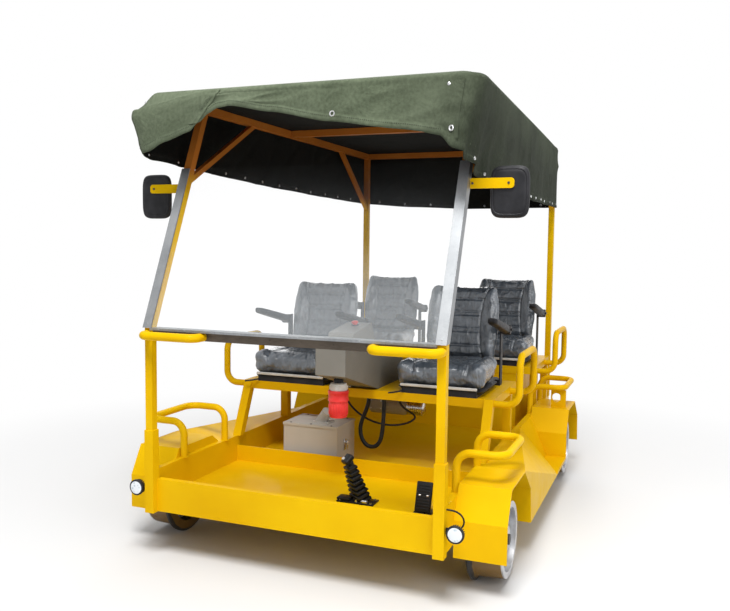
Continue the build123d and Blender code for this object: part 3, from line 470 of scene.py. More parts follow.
@dataclass(frozen=True)
class WrappedVinyl:
    """Grained seat vinyl under crinkled clear film."""

    name: str
    dark: Colour
    light: Colour

    def material(self) -> Material:
        """Build the vinyl's material."""
        graph = ShaderGraph(self.name)
        cloudy = graph.noise(11.0, 5.0, twist=1.5)
        graph.feed(graph.ramp(cloudy, ((0.42, self.dark), (0.60, self.light))), "Base Color")
        crinkle = graph.noise(26.0, 5.0, graph.mapped(graph.place, (1.0, 1.0, 0.45)), 2.2)
        pulls = graph.noise(9.0, 3.0, graph.mapped(graph.place, (1.6, 0.7, 0.5)), 3.0)
        folds = graph.bump(pulls, 0.5, 0.012)
        film = graph.bump(crinkle, 0.5, 0.005, folds)
        graph.feed(film, "Normal")
        graph.feed(film, "Coat Normal")
        graph.feed(graph.grey(crinkle, 0.34, 0.58), "Roughness")
        graph.set(Coat_Weight=1.0, Coat_Roughness=0.10, Coat_IOR=1.6)
        return graph.material


@dataclass(frozen=True)
class Moulded:
    """Moulded plastic or rubber with a fine grain."""

    name: str
    dark: Colour
    light: Colour
    roughness: tuple[float, float] = (0.4, 0.6)
    grain: float = 420.0
    relief: float = 0.25
    gloss: float = 0.22

    def material(self) -> Material:
        """Build the plastic's material."""
        graph = ShaderGraph(self.name)
        clouds = graph.noise(14.0, 4.0)
        graph.feed(graph.ramp(clouds, ((0.35, self.dark), (0.65, self.light))), "Base Color")
        graph.feed(graph.grey(graph.noise(40.0, 4.0), *self.roughness), "Roughness")
        graph.feed(graph.bump(graph.noise(self.grain, 2.0), self.relief, 0.0006), "Normal")
        graph.set(Specular_IOR_Level=self.gloss)
        return graph.material


@dataclass(frozen=True)
class ClearSheet:
    """Clear pane with a pale veil that thins out upwards, a painted reflection of the bright ground, as (height,
    cover).
    """

    name: str
    tint: Colour
    cover: Table
    roughness: float = 0.05

    def material(self) -> Material:
        """Build the pane's material."""
        graph = ShaderGraph(self.name)
        veil_mottle = graph.noise(5.0, 5.0, twist=0.8)
        paler = tuple(min(1.0, part * 1.08) for part in self.tint)
        graph.feed(graph.ramp(veil_mottle, ((0.4, self.tint), (0.65, paler))), "Base Color")
        # Painted reflection: the pale veil is strongest low on the pane, where it reflects the bright ground.
        height = graph.axis(graph.place, "Z")
        foot, head = self.cover[0][0], self.cover[-1][0]
        share = graph.sum(graph.sum(height, foot, "SUBTRACT"), head - foot, "DIVIDE")
        veil = [((z - foot) / (head - foot), (cover,) * 3) for z, cover in self.cover]
        graph.feed(graph.ramp(share, veil), "Alpha")
        graph.set(Roughness=self.roughness, IOR=1.45)
        return graph.material


@dataclass(frozen=True)
class LampLens:
    """Bright moulded lens with rows of small cells."""

    name: str
    dark: Colour = (0.36, 0.45, 0.52)
    light: Colour = (0.74, 0.78, 0.81)

    def material(self) -> Material:
        """Build the lens material."""
        graph = ShaderGraph(self.name)
        cells = graph.node("ShaderNodeTexVoronoi", Scale=55.0, Vector=graph.place)
        colour = graph.ramp(cells.outputs["Distance"], ((0.05, self.dark), (0.4, self.light)))
        graph.feed(colour, "Base Color")
        graph.feed(graph.bump(cells.outputs["Distance"], 0.4, 0.002), "Normal")
        graph.set(Roughness=0.12, Coat_Weight=1.0, Coat_Roughness=0.03)
        return graph.material


YELLOW_TONES = ((0.68, 0.385, 0.002), (0.77, 0.475, 0.003))


class Finish(Enum):
    """Every finish on the trolley, named after the record's slot where it has one."""

    YELLOW = Enamel("yellow_paint", *YELLOW_TONES)
    # Roof frame: painted shade turns the tubes brown-orange from about 1.84 m up, under the canopy.
    ROOF = Enamel("roof_paint_and_shade", *YELLOW_TONES, upper=((0.36, 0.115, 0.018), (0.46, 0.155, 0.025)))
    WHEELS_FRONT = WheelSteel("wheel_steel_front", "wheels_front")
    WHEELS_REAR = WheelSteel("wheel_steel_rear", "wheels_rear")
    AXLE = BrushedMetal("axle_steel", (0.03, 0.027, 0.024), (0.10, 0.09, 0.08), (1, 9, 9), (0.5, 0.7), 0.6)
    ALUMINIUM = BrushedMetal("aluminium_trim", (0.22, 0.23, 0.24), (0.37, 0.38, 0.39), (9, 9, 0.7),
                             (0.42, 0.6))
    DASH = BrushedMetal("dash_steel", (0.066, 0.049, 0.034), (0.125, 0.098, 0.073), (0.5, 9, 9),
                        (0.4, 0.6), 0.3)
    # Windscreen: painted reflection of the bright ground, fading out upwards.
    GLASS = ClearSheet("windscreen_glass", (0.80, 0.85, 0.88),
                       ((1.17, 0.10), (1.42, 0.07), (1.60, 0.012), (1.96, 0.004)))
    CANVAS = Canvas("canvas", (0.056, 0.071, 0.042), (0.150, 0.181, 0.117), 0.03)
    # Near-black underside of the canopy: painted shade.
    CANVAS_UNDERSIDE_SHADE = Canvas("canvas_underside_shade", (0.007, 0.007, 0.006), (0.013, 0.013, 0.011))
    VINYL = WrappedVinyl("seat_vinyl", (0.060, 0.074, 0.092), (0.112, 0.134, 0.162))
    BLACK = Moulded("black_plastic", (0.010, 0.010, 0.012), (0.022, 0.022, 0.025))
    PEDAL = Moulded("pedal_black", (0.006, 0.006, 0.006), (0.016, 0.016, 0.016), (0.25, 0.5), 160.0)
    CONSOLE = Enamel("console_grey", (0.165, 0.157, 0.137), (0.215, 0.205, 0.182), (0.4, 0.55), 0.05, 0.3)
    BOX = Enamel("box_grey", (0.42, 0.395, 0.355), (0.50, 0.47, 0.425), (0.45, 0.6), 0.05, 0.3)
    RED = Moulded("signal_red", (0.68, 0.03, 0.028), (0.84, 0.065, 0.06), (0.25, 0.4), 220.0, 0.1)
    CAP = Moulded("cap_grey", (0.60, 0.58, 0.54), (0.72, 0.70, 0.66), (0.45, 0.6))
    MOTOR = Enamel("motor_grey", (0.26, 0.255, 0.215), (0.36, 0.355, 0.31), (0.4, 0.6), 0.1, 0.3)
    BRIGHT = BrushedMetal("bright_steel", (0.48, 0.48, 0.49), (0.78, 0.78, 0.79), (1, 1, 6), (0.2, 0.35))
    LENS = LampLens("lamp_lens")
    CABLE = Moulded("cable_black", (0.008, 0.008, 0.008), (0.018, 0.018, 0.018), (0.45, 0.65), 500.0)
    TRIM = Moulded("seat_trim_pale", (0.50, 0.49, 0.46), (0.64, 0.63, 0.60), (0.35, 0.5))
    # Dark thread: along the lapped seam it also stands as painted shade.
    THREAD = Moulded("canvas_thread", (0.040, 0.050, 0.031), (0.062, 0.075, 0.049), (0.7, 0.9))
    MIRROR = BrushedMetal("mirror_glass", (0.86, 0.87, 0.88), (0.92, 0.92, 0.93), (1, 1, 1), (0.02, 0.04))

    @property
    def material(self) -> Material:
        """The finish's material, built once."""
        found = bpy.data.materials.get(f"finish_{self.name.lower()}")
        if found is None:
            found = self.value.material()
            found.name = f"finish_{self.name.lower()}"
        return found


SLOT_FINISHES = {finish.value.name: finish for finish in Finish} | {"wheel_steel": Finish.WHEELS_FRONT}
OWN_FINISHES = {"wheels_rear": Finish.WHEELS_REAR, "roof_frame": Finish.ROOF}


class Shape:
    """Mesh under construction, made of bevelled blocks, turned bodies, tubes and lofts."""

    def __init__(self) -> None:
        """Start with no geometry."""
        self.mesh = bmesh.new()

    def block(self, centre: Sequence[float], size: Point, bevel: float = 0.002, turn: Matrix | None = None,
              segments: int = 2) -> "Shape":
        """Add a box with rounded edges.

        Args:
            centre: Middle of the box.
            size: Edge lengths.
            bevel: Edge radius.
            turn: Rotation about the middle.
            segments: Steps in each rounded edge.

        Returns:
            The shape itself.
        """
        made = bmesh.ops.create_cube(self.mesh, size=1.0)["verts"]
        bmesh.ops.scale(self.mesh, vec=size, verts=made)
        edges = {edge for vert in made for edge in vert.link_edges}
        rounded = bmesh.ops.bevel(self.mesh, geom=list(edges), offset=min(bevel, 0.45 * min(size)),
                                  segments=segments, profile=0.5, affect="EDGES")
        verts = {vert for face in rounded["faces"] for vert in face.verts}
        place = Matrix.Translation(Vector(centre)) @ (turn.to_4x4() if turn else Matrix.Identity(4))
        bmesh.ops.transform(self.mesh, matrix=place, verts=list(verts))
        return self

    def lathe(self, profile: Sequence[tuple[float, float]], origin: Sequence[float], axis: Sequence[float],
              segments: int = 40) -> "Shape":
        """Add a turned body.

        Args:
            profile: (distance along the axis, radius) from one end to the other.
            origin: Where the distance is zero.
            axis: Direction of the axis.
            segments: Steps round the axis.

        Returns:
            The shape itself.
        """
        turn = turned_to(axis)
        return self.loft([[Vector(origin) + turn @ point for point in circle(radius, segments, along)]
                          for along, radius in profile])

    def loft(self, rings: Sequence[Sequence[Vector]]) -> "Shape":
        """Join closed rings of equal count, with a flat cap on each end.

        Args:
            rings: Point loops, in order.

        Returns:
            The shape itself.
        """
        rows = [[self.mesh.verts.new(point) for point in ring] for ring in rings]
        count = len(rows[0])
        for lower, upper in zip(rows, rows[1:]):
            for k in range(count):
                after = (k + 1) % count
                self.mesh.faces.new((lower[k], lower[after], upper[after], upper[k]))
        self.mesh.faces.new(list(reversed(rows[0])))
        self.mesh.faces.new(rows[-1])
        return self

    def tube(self, points: Sequence[Sequence[float]], radius: float, segments: int = 12) -> "Shape":
        """Add a round bar along straight runs."""
        path = [Vector(point) for point in points]
        rings = []
        for k, point in enumerate(path):
            ahead = (path[min(k + 1, len(path) - 1)] - path[max(k - 1, 0)]).normalized()
            turn = turned_to(ahead)
            rings.append([point + turn @ spot for spot in circle(radius, segments)])
        return self.loft(rings)

    def finish(self, name: str, finish: Finish, body: str = CHASSIS, replaces: Iterable[str] = (),
               slot: str | None = None) -> Piece:
        """Turn the shape into a piece that rides a body.

        Args:
            name: The piece's name.
            finish: Its finish.
            body: Body that it moves with.
            replaces: Nodes that it stands for.
            slot: The record's material slot; not used.

        Returns:
            The new object.
        """
        bmesh.ops.remove_doubles(self.mesh, verts=self.mesh.verts, dist=1e-6)
        bmesh.ops.recalc_face_normals(self.mesh, faces=self.mesh.faces)
        data = bpy.data.meshes.new(name)
        self.mesh.to_mesh(data)
        self.mesh.free()
        data.shade_smooth()
        data.set_sharp_from_angle(angle=SHARP_EDGE)
        return place_piece(name, data, finish, body, replaces)


def place_piece(name: str, data: bpy.types.Mesh | bpy.types.Curve, finish: Finish, body: str = CHASSIS,
                replaces: Iterable[str] = ()) -> Piece:
    """Link a mesh or curve as a piece of the trolley.

    Args:
        name: The piece's name.
        data: Its mesh or curve, already in place.
        finish: Its finish.
        body: Body that it moves with.
        replaces: Nodes that it stands for.

    Returns:
        The new object.
    """
    piece = linked(name, data)
    if not data.materials:
        data.materials.append(finish.material)
    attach(piece, body)
    for node in replaces:
        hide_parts(node)
    LOG.info("piece %s on %s", name, body)
    return piece


class Head(Enum):
    """Small shapes that repeat on the trolley."""

    RIVET = "rivet"
    SCREW = "screw"
    EYELET = "eyelet"
    BEAD = "bead"


@dataclass
class Studs:
    """Rows of rivets, screws, eyelets, stitches or weld beads, spread by geometry nodes."""

    name: str
    head: Head
    radius: float
    height: float
    finish: Finish

    def head_node(self, tree: bpy.types.NodeTree, radius: Socket,
                  height: Socket) -> Socket:
        """Nodes that make one head, its axis along Z.

        Args:
            tree: Tree that gets the nodes.
            radius: Input with the head's radius.
            height: Input with the head's height.

        Returns:
            The head's geometry output.
        """
        new, link = tree.nodes.new, tree.links.new
        if self.head is Head.EYELET:
            ring = new("GeometryNodeCurvePrimitiveCircle")
            ring.inputs["Resolution"].default_value = 14
            wire = new("GeometryNodeCurvePrimitiveCircle")
            wire.inputs["Resolution"].default_value = 6
            sweep = new("GeometryNodeCurveToMesh")
            link(radius, ring.inputs["Radius"])
            link(height, wire.inputs["Radius"])
            link(ring.outputs[0], sweep.inputs["Curve"])
            link(wire.outputs[0], sweep.inputs["Profile Curve"])
            return sweep.outputs[0]
        if self.head is Head.SCREW:
            drum = new("GeometryNodeMeshCylinder")
            drum.inputs["Vertices"].default_value = 6
            link(radius, drum.inputs["Radius"])
            link(height, drum.inputs["Depth"])
            return drum.outputs["Mesh"]
        dome = new("GeometryNodeMeshUVSphere")
        dome.inputs["Segments"].default_value = 8
        dome.inputs["Rings"].default_value = 5
        squash = new("GeometryNodeTransform")
        scale = new("ShaderNodeCombineXYZ")
        link(radius, scale.inputs["X"])
        link(radius, scale.inputs["Y"])
        link(height, scale.inputs["Z"])
        link(dome.outputs["Mesh"], squash.inputs["Geometry"])
        link(scale.outputs[0], squash.inputs["Scale"])
        return squash.outputs[0]

    def tree(self) -> bpy.types.NodeTree:
        """Node tree that puts one head on each point, turned to the point's axis."""
        tree = bpy.data.node_groups.new(f"{self.name}_spread", "GeometryNodeTree")
        tree.interface.new_socket("Points", in_out="INPUT", socket_type="NodeSocketGeometry")
        for label in ("Head radius", "Head height"):
            tree.interface.new_socket(label, in_out="INPUT", socket_type="NodeSocketFloat")
        tree.interface.new_socket("Heads", in_out="OUTPUT", socket_type="NodeSocketGeometry")
        new, link = tree.nodes.new, tree.links.new
        entry = new("NodeGroupInput")
        leave = new("NodeGroupOutput")
        axis = new("GeometryNodeInputNamedAttribute")
        axis.data_type = "FLOAT_VECTOR"
        axis.inputs["Name"].default_value = "axis"
        aim = new("FunctionNodeAlignRotationToVector")
        spread = new("GeometryNodeInstanceOnPoints")
        solid = new("GeometryNodeRealizeInstances")
        paint = new("GeometryNodeSetMaterial")
        paint.inputs["Material"].default_value = self.finish.material
        head = self.head_node(tree, entry.outputs["Head radius"], entry.outputs["Head height"])
        link(axis.outputs["Attribute"], aim.inputs["Vector"])
        link(entry.outputs["Points"], spread.inputs["Points"])
        link(head, spread.inputs["Instance"])
        link(aim.outputs[0], spread.inputs["Rotation"])
        link(spread.outputs[0], solid.inputs[0])
        link(solid.outputs[0], paint.inputs["Geometry"])
        link(paint.outputs[0], leave.inputs["Heads"])
        return tree

    def build(self, places: Sequence[tuple[Sequence[float], Sequence[float]]],
              slot: str | None = None) -> Piece:
        """Spread the heads and keep them as one plain mesh.

        Args:
            places: Points with the direction that each head faces.
            slot: The record's material slot; not used.

        Returns:
            The piece.
        """
        data = bpy.data.meshes.new(f"{self.name}_points")
        data.from_pydata([tuple(point) for point, _ in places], [], [])
        axes = data.attributes.new("axis", "FLOAT_VECTOR", "POINT")
        for item, (_, axis) in zip(axes.data, places):
            item.vector = Vector(axis).normalized()
        holder = linked(f"{self.name}_holder", data)
        modifier = holder.modifiers.new("spread", "NODES")
        modifier.node_group = self.tree()
        sizes = {"Head radius": self.radius, "Head height": self.height}
        for socket in modifier.node_group.interface.items_tree:
            if socket.in_out == "INPUT" and socket.name in sizes:
                modifier[socket.identifier] = sizes[socket.name]
        graph = bpy.context.evaluated_depsgraph_get()
        mesh = bpy.data.meshes.new_from_object(holder.evaluated_get(graph))
        holder.modifiers.clear()
        bpy.data.objects.remove(holder)
        mesh.name = self.name
        mesh.shade_smooth()
        mesh.set_sharp_from_angle(angle=SHARP_HEAD)
        return place_piece(self.name, mesh, self.finish)


@dataclass
class Camera:
    """Camera of the reference view, as fitted to the posts, roof and wheels."""

    place: Point = (1.680, -4.667, 1.588)
    yaw: float = 21.689
    pitch: float = 4.348
    roll: float = 0.664
    lens: float = 39.23

    def build(self) -> None:
        """Make the camera and set it as the scene's."""
        yaw, pitch, roll = (math.radians(angle) for angle in (self.yaw, self.pitch, self.roll))
        level_ahead = Vector((-math.sin(yaw), math.cos(yaw), 0))
        ahead = level_ahead * math.cos(pitch) - UP * math.sin(pitch)
        level = Vector((math.cos(yaw), math.sin(yaw), 0))
        upright = level.cross(ahead)
        right = level * math.cos(roll) + upright * math.sin(roll)
        top = upright * math.cos(roll) - level * math.sin(roll)
        data = bpy.data.cameras.new("view")
        data.lens = self.lens
        data.sensor_fit = "HORIZONTAL"
        camera = linked("view", data)
        turn = Matrix((right, top, -ahead)).transposed().to_4x4()
        camera.matrix_world = Matrix.Translation(self.place) @ turn
        bpy.context.scene.camera = camera


@dataclass
class Studio:
    """Pale floor, white surround and soft lamps."""

    floor_half: float = 40.0
    floor_z: float = -0.0005
    aim: Point = (0, 0, 1.0)
    lamps: tuple[tuple[str, Point, float, float], ...] = (
        ("key", (1.2, -5.2, 8.3), 3.0, 790.0),
        ("fill", (6.0, -4.4, 4.0), 5.0, 200.0),
        ("top", (0.5, 0.5, 8.0), 7.0, 320.0),
        ("back", (-2.5, 8.0, 4.5), 5.0, 160.0),
    )
    world_strength: float = 0.32
    white_from: float = 1.7
    white_at: float = 4.2

    def build(self) -> None:
        """Make the floor, the lamps and the surround."""
        floor = Shape()
        half = self.floor_half
        corners = ((-half, -half), (half, -half), (half, half), (-half, half))
        floor.mesh.faces.new([floor.mesh.verts.new((x, y, self.floor_z)) for x, y in corners])
        data = bpy.data.meshes.new("floor")
        floor.mesh.to_mesh(data)
        floor.mesh.free()
        data.materials.append(self.paper())
        linked("floor", data)
        for name, place, size, power in self.lamps:
            lamp = bpy.data.lights.new(name, "AREA")
            lamp.size = size
            lamp.energy = power
            holder = linked(name, lamp)
            holder.location = place
            ray = Vector(self.aim) - Vector(place)
            holder.rotation_euler = ray.to_track_quat("-Z", "Y").to_euler()
        self.surround()
        bpy.context.scene.view_settings.view_transform = "Standard"

    def paper(self) -> Material:
        """Matt white floor that turns into plain white away from the trolley."""
        graph = ShaderGraph("floor_paper")
        graph.set(Base_Color=(0.70, 0.70, 0.70, 1), Roughness=0.95, Specular_IOR_Level=0.0)
        away = graph.node("ShaderNodeVectorMath", Vector=graph.place)
        away.operation = "LENGTH"
        fade = graph.node("ShaderNodeMapRange", Value=away.outputs["Value"], From_Min=self.white_from,
                          From_Max=self.white_at)
        fade.interpolation_type = "SMOOTHSTEP"
        seen = seen_rays(graph.material.node_tree)
        glow = graph.nodes.new("ShaderNodeEmission")
        join = graph.nodes.new("ShaderNodeMixShader")
        graph.links.new(graph.sum(fade.outputs[0], seen, "MULTIPLY"), join.inputs[0])
        graph.links.new(graph.shader.outputs[0], join.inputs[1])
        graph.links.new(glow.outputs[0], join.inputs[2])
        graph.links.new(join.outputs[0], graph.nodes["Material Output"].inputs["Surface"])
        return graph.material

    def surround(self) -> None:
        """White to the camera, to gloss and through glass; plain soft light otherwise."""
        world = bpy.data.worlds.new("surround")
        world.use_nodes = True
        nodes, links = world.node_tree.nodes, world.node_tree.links
        strength = nodes.new("ShaderNodeMapRange")
        strength.inputs["To Min"].default_value = self.world_strength
        strength.inputs["To Max"].default_value = 1.0
        links.new(seen_rays(world.node_tree), strength.inputs["Value"])
        links.new(strength.outputs[0], nodes["Background"].inputs["Strength"])
        nodes["Background"].inputs["Color"].default_value = (1, 1, 1, 1)
        bpy.context.scene.world = world


@dataclass
class CadFinishes:
    """Finishes on the construction's own solids."""

    def build(self) -> None:
        """Give each node its own finish, or else that of its slot."""
        slots = {entry["node"]: entry["material_slot"] for entry in frame["record"]["subparts"]}
        for name, piece in frame["nodes"].items():
            finish = OWN_FINISHES.get(name, SLOT_FINISHES[slots[name]])
            piece.data.materials.clear()
            piece.data.materials.append(finish.material)


@dataclass
class Canopy:
    """One canvas sheet: it rests on the roof tubes, rounds over the edges and hangs as a valance."""

    columns: int = 104
    rows: int = 140
    drop_rows: int = 24
    thickness: float = 0.003
    edge_radius: float = 0.022
    corner_radius: float = 0.055
    tube_top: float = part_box("roof_frame")[1].z
    rail_x: float = 0.77
    sag: float = 0.020
    droop: float = 0.036
    left_droop: float = 0.060
    left_flare: float = 0.045
    draw_in: float = 0.066
    hem_band: float = 0.030
    band_step: float = 0.0028
    post_reach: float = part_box("roof_frame")[1].x + 0.006
    cut_area: float = 8.15
    side_drops: float = 0.80
    end_drops: float = 0.68
    front_hem: Table = (
        (-0.896, 2.028), (-0.845, 2.037), (-0.70, 2.080), (-0.55, 2.124), (-0.50, 2.165), (-0.45, 2.205),
        (-0.40, 2.228), (-0.33, 2.235), (-0.115, 2.197), (0.19, 2.138), (0.52, 2.092), (0.73, 2.058),
        (0.83, 1.996), (0.896, 1.962))
    right_hem: Table = (
        (0.056, 1.962), (0.16, 1.945), (0.31, 1.902), (0.65, 1.872), (1.40, 1.862), (2.10, 1.872),
        (2.95, 1.886))
    left_hem: Table = (
        (0.056, 2.028), (0.18, 2.008), (0.45, 1.992), (0.80, 1.975), (1.60, 1.952), (2.10, 1.938),
        (2.95, 1.926))
    rear_hem: Table = ((-0.78, 1.926), (-0.4, 1.900), (0.1, 1.882), (0.78, 1.886))
    cross_tubes: tuple[float, float, float] = (0.125, 1.4925, 2.88)
    posts_from: float = 2.4
    curve_rows: int = 4
    band_levels: tuple[float, ...] = (0.0, 0.4, 0.97)
    above_band: float = 1.03
    eyelet_rise: float = 0.022
    stitch_rise: float = 0.023
    stitch_gap: float = 0.010
    laps: tuple[tuple[str, tuple[float, float], tuple[float, float]], ...] = (
        ("canopy_seam_lap", (-0.385, 2.312), (-0.512, 2.158)),
        ("canopy_corner_lap", (0.805, 2.290), (0.780, 2.040)))

    def __post_init__(self) -> None:
        """Take the outline from the canopy's solid."""
        low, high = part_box("canopy")
        inset = 0.004
        self.front = low.y - POSTS_Y + inset
        self.rear = high.y - POSTS_Y - inset
        self.half_front = high.x - inset
        self.half_rear = 0.780
        self.hems = {"front": self.front_hem, "right": self.right_hem, "rear": self.rear_hem,
                     "left": self.left_hem}

    def half(self, distance: float, x: float) -> float:
        """Half width of the cover on the side of x; the left front corner flares."""
        half = blend(self.half_front, self.half_rear, (distance - self.front) / (self.rear - self.front))
        return half + (self.left_flare * smooth_step(1.0, 0.1, distance) if x < 0 else 0)

    def top_z(self, x: float, distance: float) -> float:
        """Height of the top sheet: sagging between tubes, drooping past them."""
        first, second, third = self.cross_tubes
        start, end = (first, second) if distance < second else (second, third)
        bay = min(max((distance - start) / (end - start), 0.0), 1.0)
        across = 1 - min(abs(x) / self.rail_x, 1.0) ** 2
        z = self.tube_top + 0.0045 - self.sag * across * math.sin(math.pi * bay) ** 2
        past_side = smooth_step(self.rail_x + 0.004, self.half_front, abs(x))
        past_front = smooth_step(first - 0.024, self.front, distance)
        z -= 0.5 * self.droop * (max(past_side, past_front) + past_side * past_front)
        corner = smooth_step(-0.772, -0.90, x) * smooth_step(0.50, 0.06, distance)
        ahead = smooth_step(-0.42, -0.90, x)
        ahead *= smooth_step(first - 0.022, self.front + self.edge_radius, distance)
        return z - self.left_droop * max(corner, ahead)

    def hem_z(self, x: float, distance: float, side: str) -> float:
        """Height of the hem under a place on the edge."""
        return follow(self.hems[side], distance if side in SIDES else x)

    def fold(self, side: str, x: float, distance: float, share: float) -> float:
        """How far the hanging cloth stands out from its plane.

        Args:
            side: Which valance.
            x: Place across.
            distance: Place behind the posts.
            share: 0 at the top edge, 1 at the hem.

        Returns:
            Outward offset in metres.
        """
        place = distance if side in SIDES else x
        slow = noise.noise((place * 2.2, 3.7, len(side) * 1.3))
        quick = noise.noise((place * 6.5, 9.1 + share * 0.6, len(side) * 2.1))
        slant = noise.noise((place * 4.0 + share * 1.4, share * 1.1, 5.3 + len(side)))
        crease = (1 - abs(slant)) ** 8 * smooth_step(0.0, 0.25, share)
        out = share ** 1.3 * (0.012 * slow + 0.009 * quick) + 0.010 * crease - 0.002
        if side in SIDES:
            corner = math.exp(-((place - 0.30) / 0.34) ** 2)
            out -= corner * share ** 0.9 * 0.026 * abs(math.sin(place * 14 + 0.7 * share)) ** 0.7
        if side == "front":
            overlap = smooth_step(-0.012, 0.0, self.seam_x(share) - x)
            out += 0.008 * overlap + 0.012 * share * math.exp(-((x + 0.30) / 0.16) ** 2)
            out += 0.010 * share * math.sin(x * 7 + 1.1) * math.exp(-((abs(x) - 0.75) / 0.2) ** 2)
            out += 0.015 * share ** 0.6 * math.exp(-((x - blend(0.86, 0.80, share)) / 0.02) ** 2)
        if side == "rear":
            out -= 0.012 * share
        return out

    def lean(self, x: float, distance: float, share: float) -> Vector:
        """How far the valance draws in towards the middle, most at the front corners."""
        along = math.exp(-((distance - 0.20) / 0.75) ** 2)
        corner = smooth_step(0.68, 0.97, abs(x) / self.half(distance, x))
        return Vector((-math.copysign(self.draw_in, x) * along * corner * share ** 1.15, 0, 0))

    def seam_x(self, share: float) -> float:
        """Place of the lapped seam on the front valance."""
        return blend(-0.385, -0.512, share)

    def edge_loop(self) -> list[tuple[int, int]]:
        """Grid indices round the top's edge, counter-clockwise from the front left corner."""
        last_i, last_j = self.columns, self.rows
        loop = [(i, 0) for i in range(last_i)] + [(last_i, j) for j in range(last_j)]
        loop += [(i, last_j) for i in range(last_i, 0, -1)] + [(0, j) for j in range(last_j, 0, -1)]
        return loop

    def plan(self, i: int, j: int) -> tuple[float, float]:
        """Place of a grid point, as x and distance behind the posts, with rounded front corners."""
        distance = blend(self.front + self.edge_radius, self.rear - self.edge_radius, j / self.rows)
        share = 2 * i / self.columns - 1
        x = share * (self.half(distance, share) - self.edge_radius)
        out, ahead = self.corner_offset(x, distance)
        reach = max(out, ahead)
        if min(out, ahead) > 0:
            shrink = reach / math.hypot(out, ahead)
            x -= math.copysign(out * (1 - shrink), x)
            distance += ahead * (1 - shrink)
        return x, distance

    def corner_offset(self, x: float, distance: float) -> tuple[float, float]:
        """How far a place lies past a front corner's rounding centre, outwards and forwards."""
        half = self.half(distance, x) - self.edge_radius - self.corner_radius
        return abs(x) - half, self.front + self.edge_radius + self.corner_radius - distance

    def side_of(self, i: int, j: int) -> tuple[str, Vector]:
        """Which valance hangs from an edge point, and the way it faces."""
        x, distance = self.plan(i, j)
        out, ahead = self.corner_offset(x, distance)
        way = math.copysign(1, x)
        side = "right" if way > 0 else "left"
        if min(out, ahead) > 0:
            facing = Vector((way * out, -ahead, 0)).normalized()
            return ("front" if ahead > out else side), facing
        if j == 0:
            return "front", FORWARD
        if j == self.rows:
            corner = i in (0, self.columns)
            return "rear", Vector((way, 1, 0)).normalized() if corner else REARWARD
        return side, RIGHT * way

    def drop_point(self, i: int, j: int, step: int) -> Vector:
        """Point of the valance under an edge point.

        Args:
            i: Column of the edge point.
            j: Row of the edge point.
            step: Row of the valance, from 1 at the rounded edge down to the hem.

        Returns:
            The point.
        """
        side, facing = self.side_of(i, j)
        x, distance = self.plan(i, j)
        edge_z = self.top_z(x, distance)
        band_rows = len(self.band_levels)
        if step <= self.curve_rows:
            angle = math.pi / 2 * step / self.curve_rows
            out = self.edge_radius * math.sin(angle)
            down = self.edge_radius * (1 - math.cos(angle))
            share = 0.0
        else:
            height = edge_z - self.edge_radius - self.hem_z(x, distance, side)
            left = self.drop_rows - step
            in_band = left < band_rows
            over_hem = self.band_levels[left] if in_band else self.above_band
            share = 1 - over_hem * self.hem_band / height
            if not in_band:
                share *= (step - self.curve_rows) / (self.drop_rows - band_rows - self.curve_rows)
            down = self.edge_radius + height * share
            out = self.edge_radius + self.fold(side, x, distance, share)
            out += self.band_step if in_band else 0
        point = Vector((x, behind(distance), edge_z - down)) + facing * out + self.lean(x, distance, share)
        if side in SIDES and distance > self.posts_from:
            point.x = math.copysign(max(abs(point.x), self.post_reach), x)
        return point

    def grid_point(self, i: int, j: int) -> Vector:
        """Point of the top sheet."""
        x, distance = self.plan(i, j)
        return Vector((x, behind(distance), self.top_z(x, distance)))

    def build(self) -> None:
        """Build the sheet with its eyelets, stitches and laps."""
        mesh = bmesh.new()
        uv_layer = mesh.loops.layers.uv.new("cut")
        flat: dict[bmesh.types.BMVert, tuple[float, float]] = {}
        grid = [[mesh.verts.new(self.grid_point(i, j)) for i in range(self.columns + 1)]
                for j in range(self.rows + 1)]
        for j, line in enumerate(grid):
            for i, vert in enumerate(line):
                flat[vert] = self.plan(i, j)
        for j in range(self.rows):
            for i in range(self.columns):
                mesh.faces.new((grid[j][i], grid[j][i + 1], grid[j + 1][i + 1], grid[j + 1][i]))
        loop = self.edge_loop()
        above = [grid[j][i] for i, j in loop]
        for step in range(1, self.drop_rows + 1):
            below = [mesh.verts.new(self.drop_point(i, j, step)) for i, j in loop]
            for k, vert in enumerate(below):
                _, facing = self.side_of(*loop[k])
                gone = (vert.co - above[k].co).length
                u, v = flat[above[k]]
                flat[vert] = (u + facing.x * gone, v + facing.y * gone)
            for k in range(len(loop)):
                after = (k + 1) % len(loop)
                mesh.faces.new((above[k], below[k], below[after], above[after]))
            above = below
        for face in mesh.faces:
            for corner in face.loops:
                corner[uv_layer].uv = flat[corner.vert]
        bmesh.ops.recalc_face_normals(mesh, faces=mesh.faces)
        if grid[2][2].normal.z < 0:
            bmesh.ops.reverse_faces(mesh, faces=mesh.faces)
        area = sum(face.calc_area() for face in mesh.faces)
        LOG.info("canopy cloth %.3f square metres", area)
        surface = BVHTree.FromBMesh(mesh)
        data = bpy.data.meshes.new("canopy_cover")
        mesh.to_mesh(data)
        mesh.free()
        data.shade_smooth()
        data.materials.append(Finish.CANVAS.material)
        # The inner face gets the near-black canvas, painted shade under the canopy.
        data.materials.append(Finish.CANVAS_UNDERSIDE_SHADE.material)
        cover = place_piece("canopy_cover", data, Finish.CANVAS, CHASSIS, ("canopy",))
        wall = cover.modifiers.new("thickness", "SOLIDIFY")
        wall.thickness = self.thickness
        wall.offset = -1.0
        wall.material_offset = 1
        wall.material_offset_rim = 0
        fittings = self.eyelets(surface) + [self.hem_stitches(surface), self.seam_stitches(surface)]
        fittings += [self.lap(surface, *lap) for lap in self.laps]

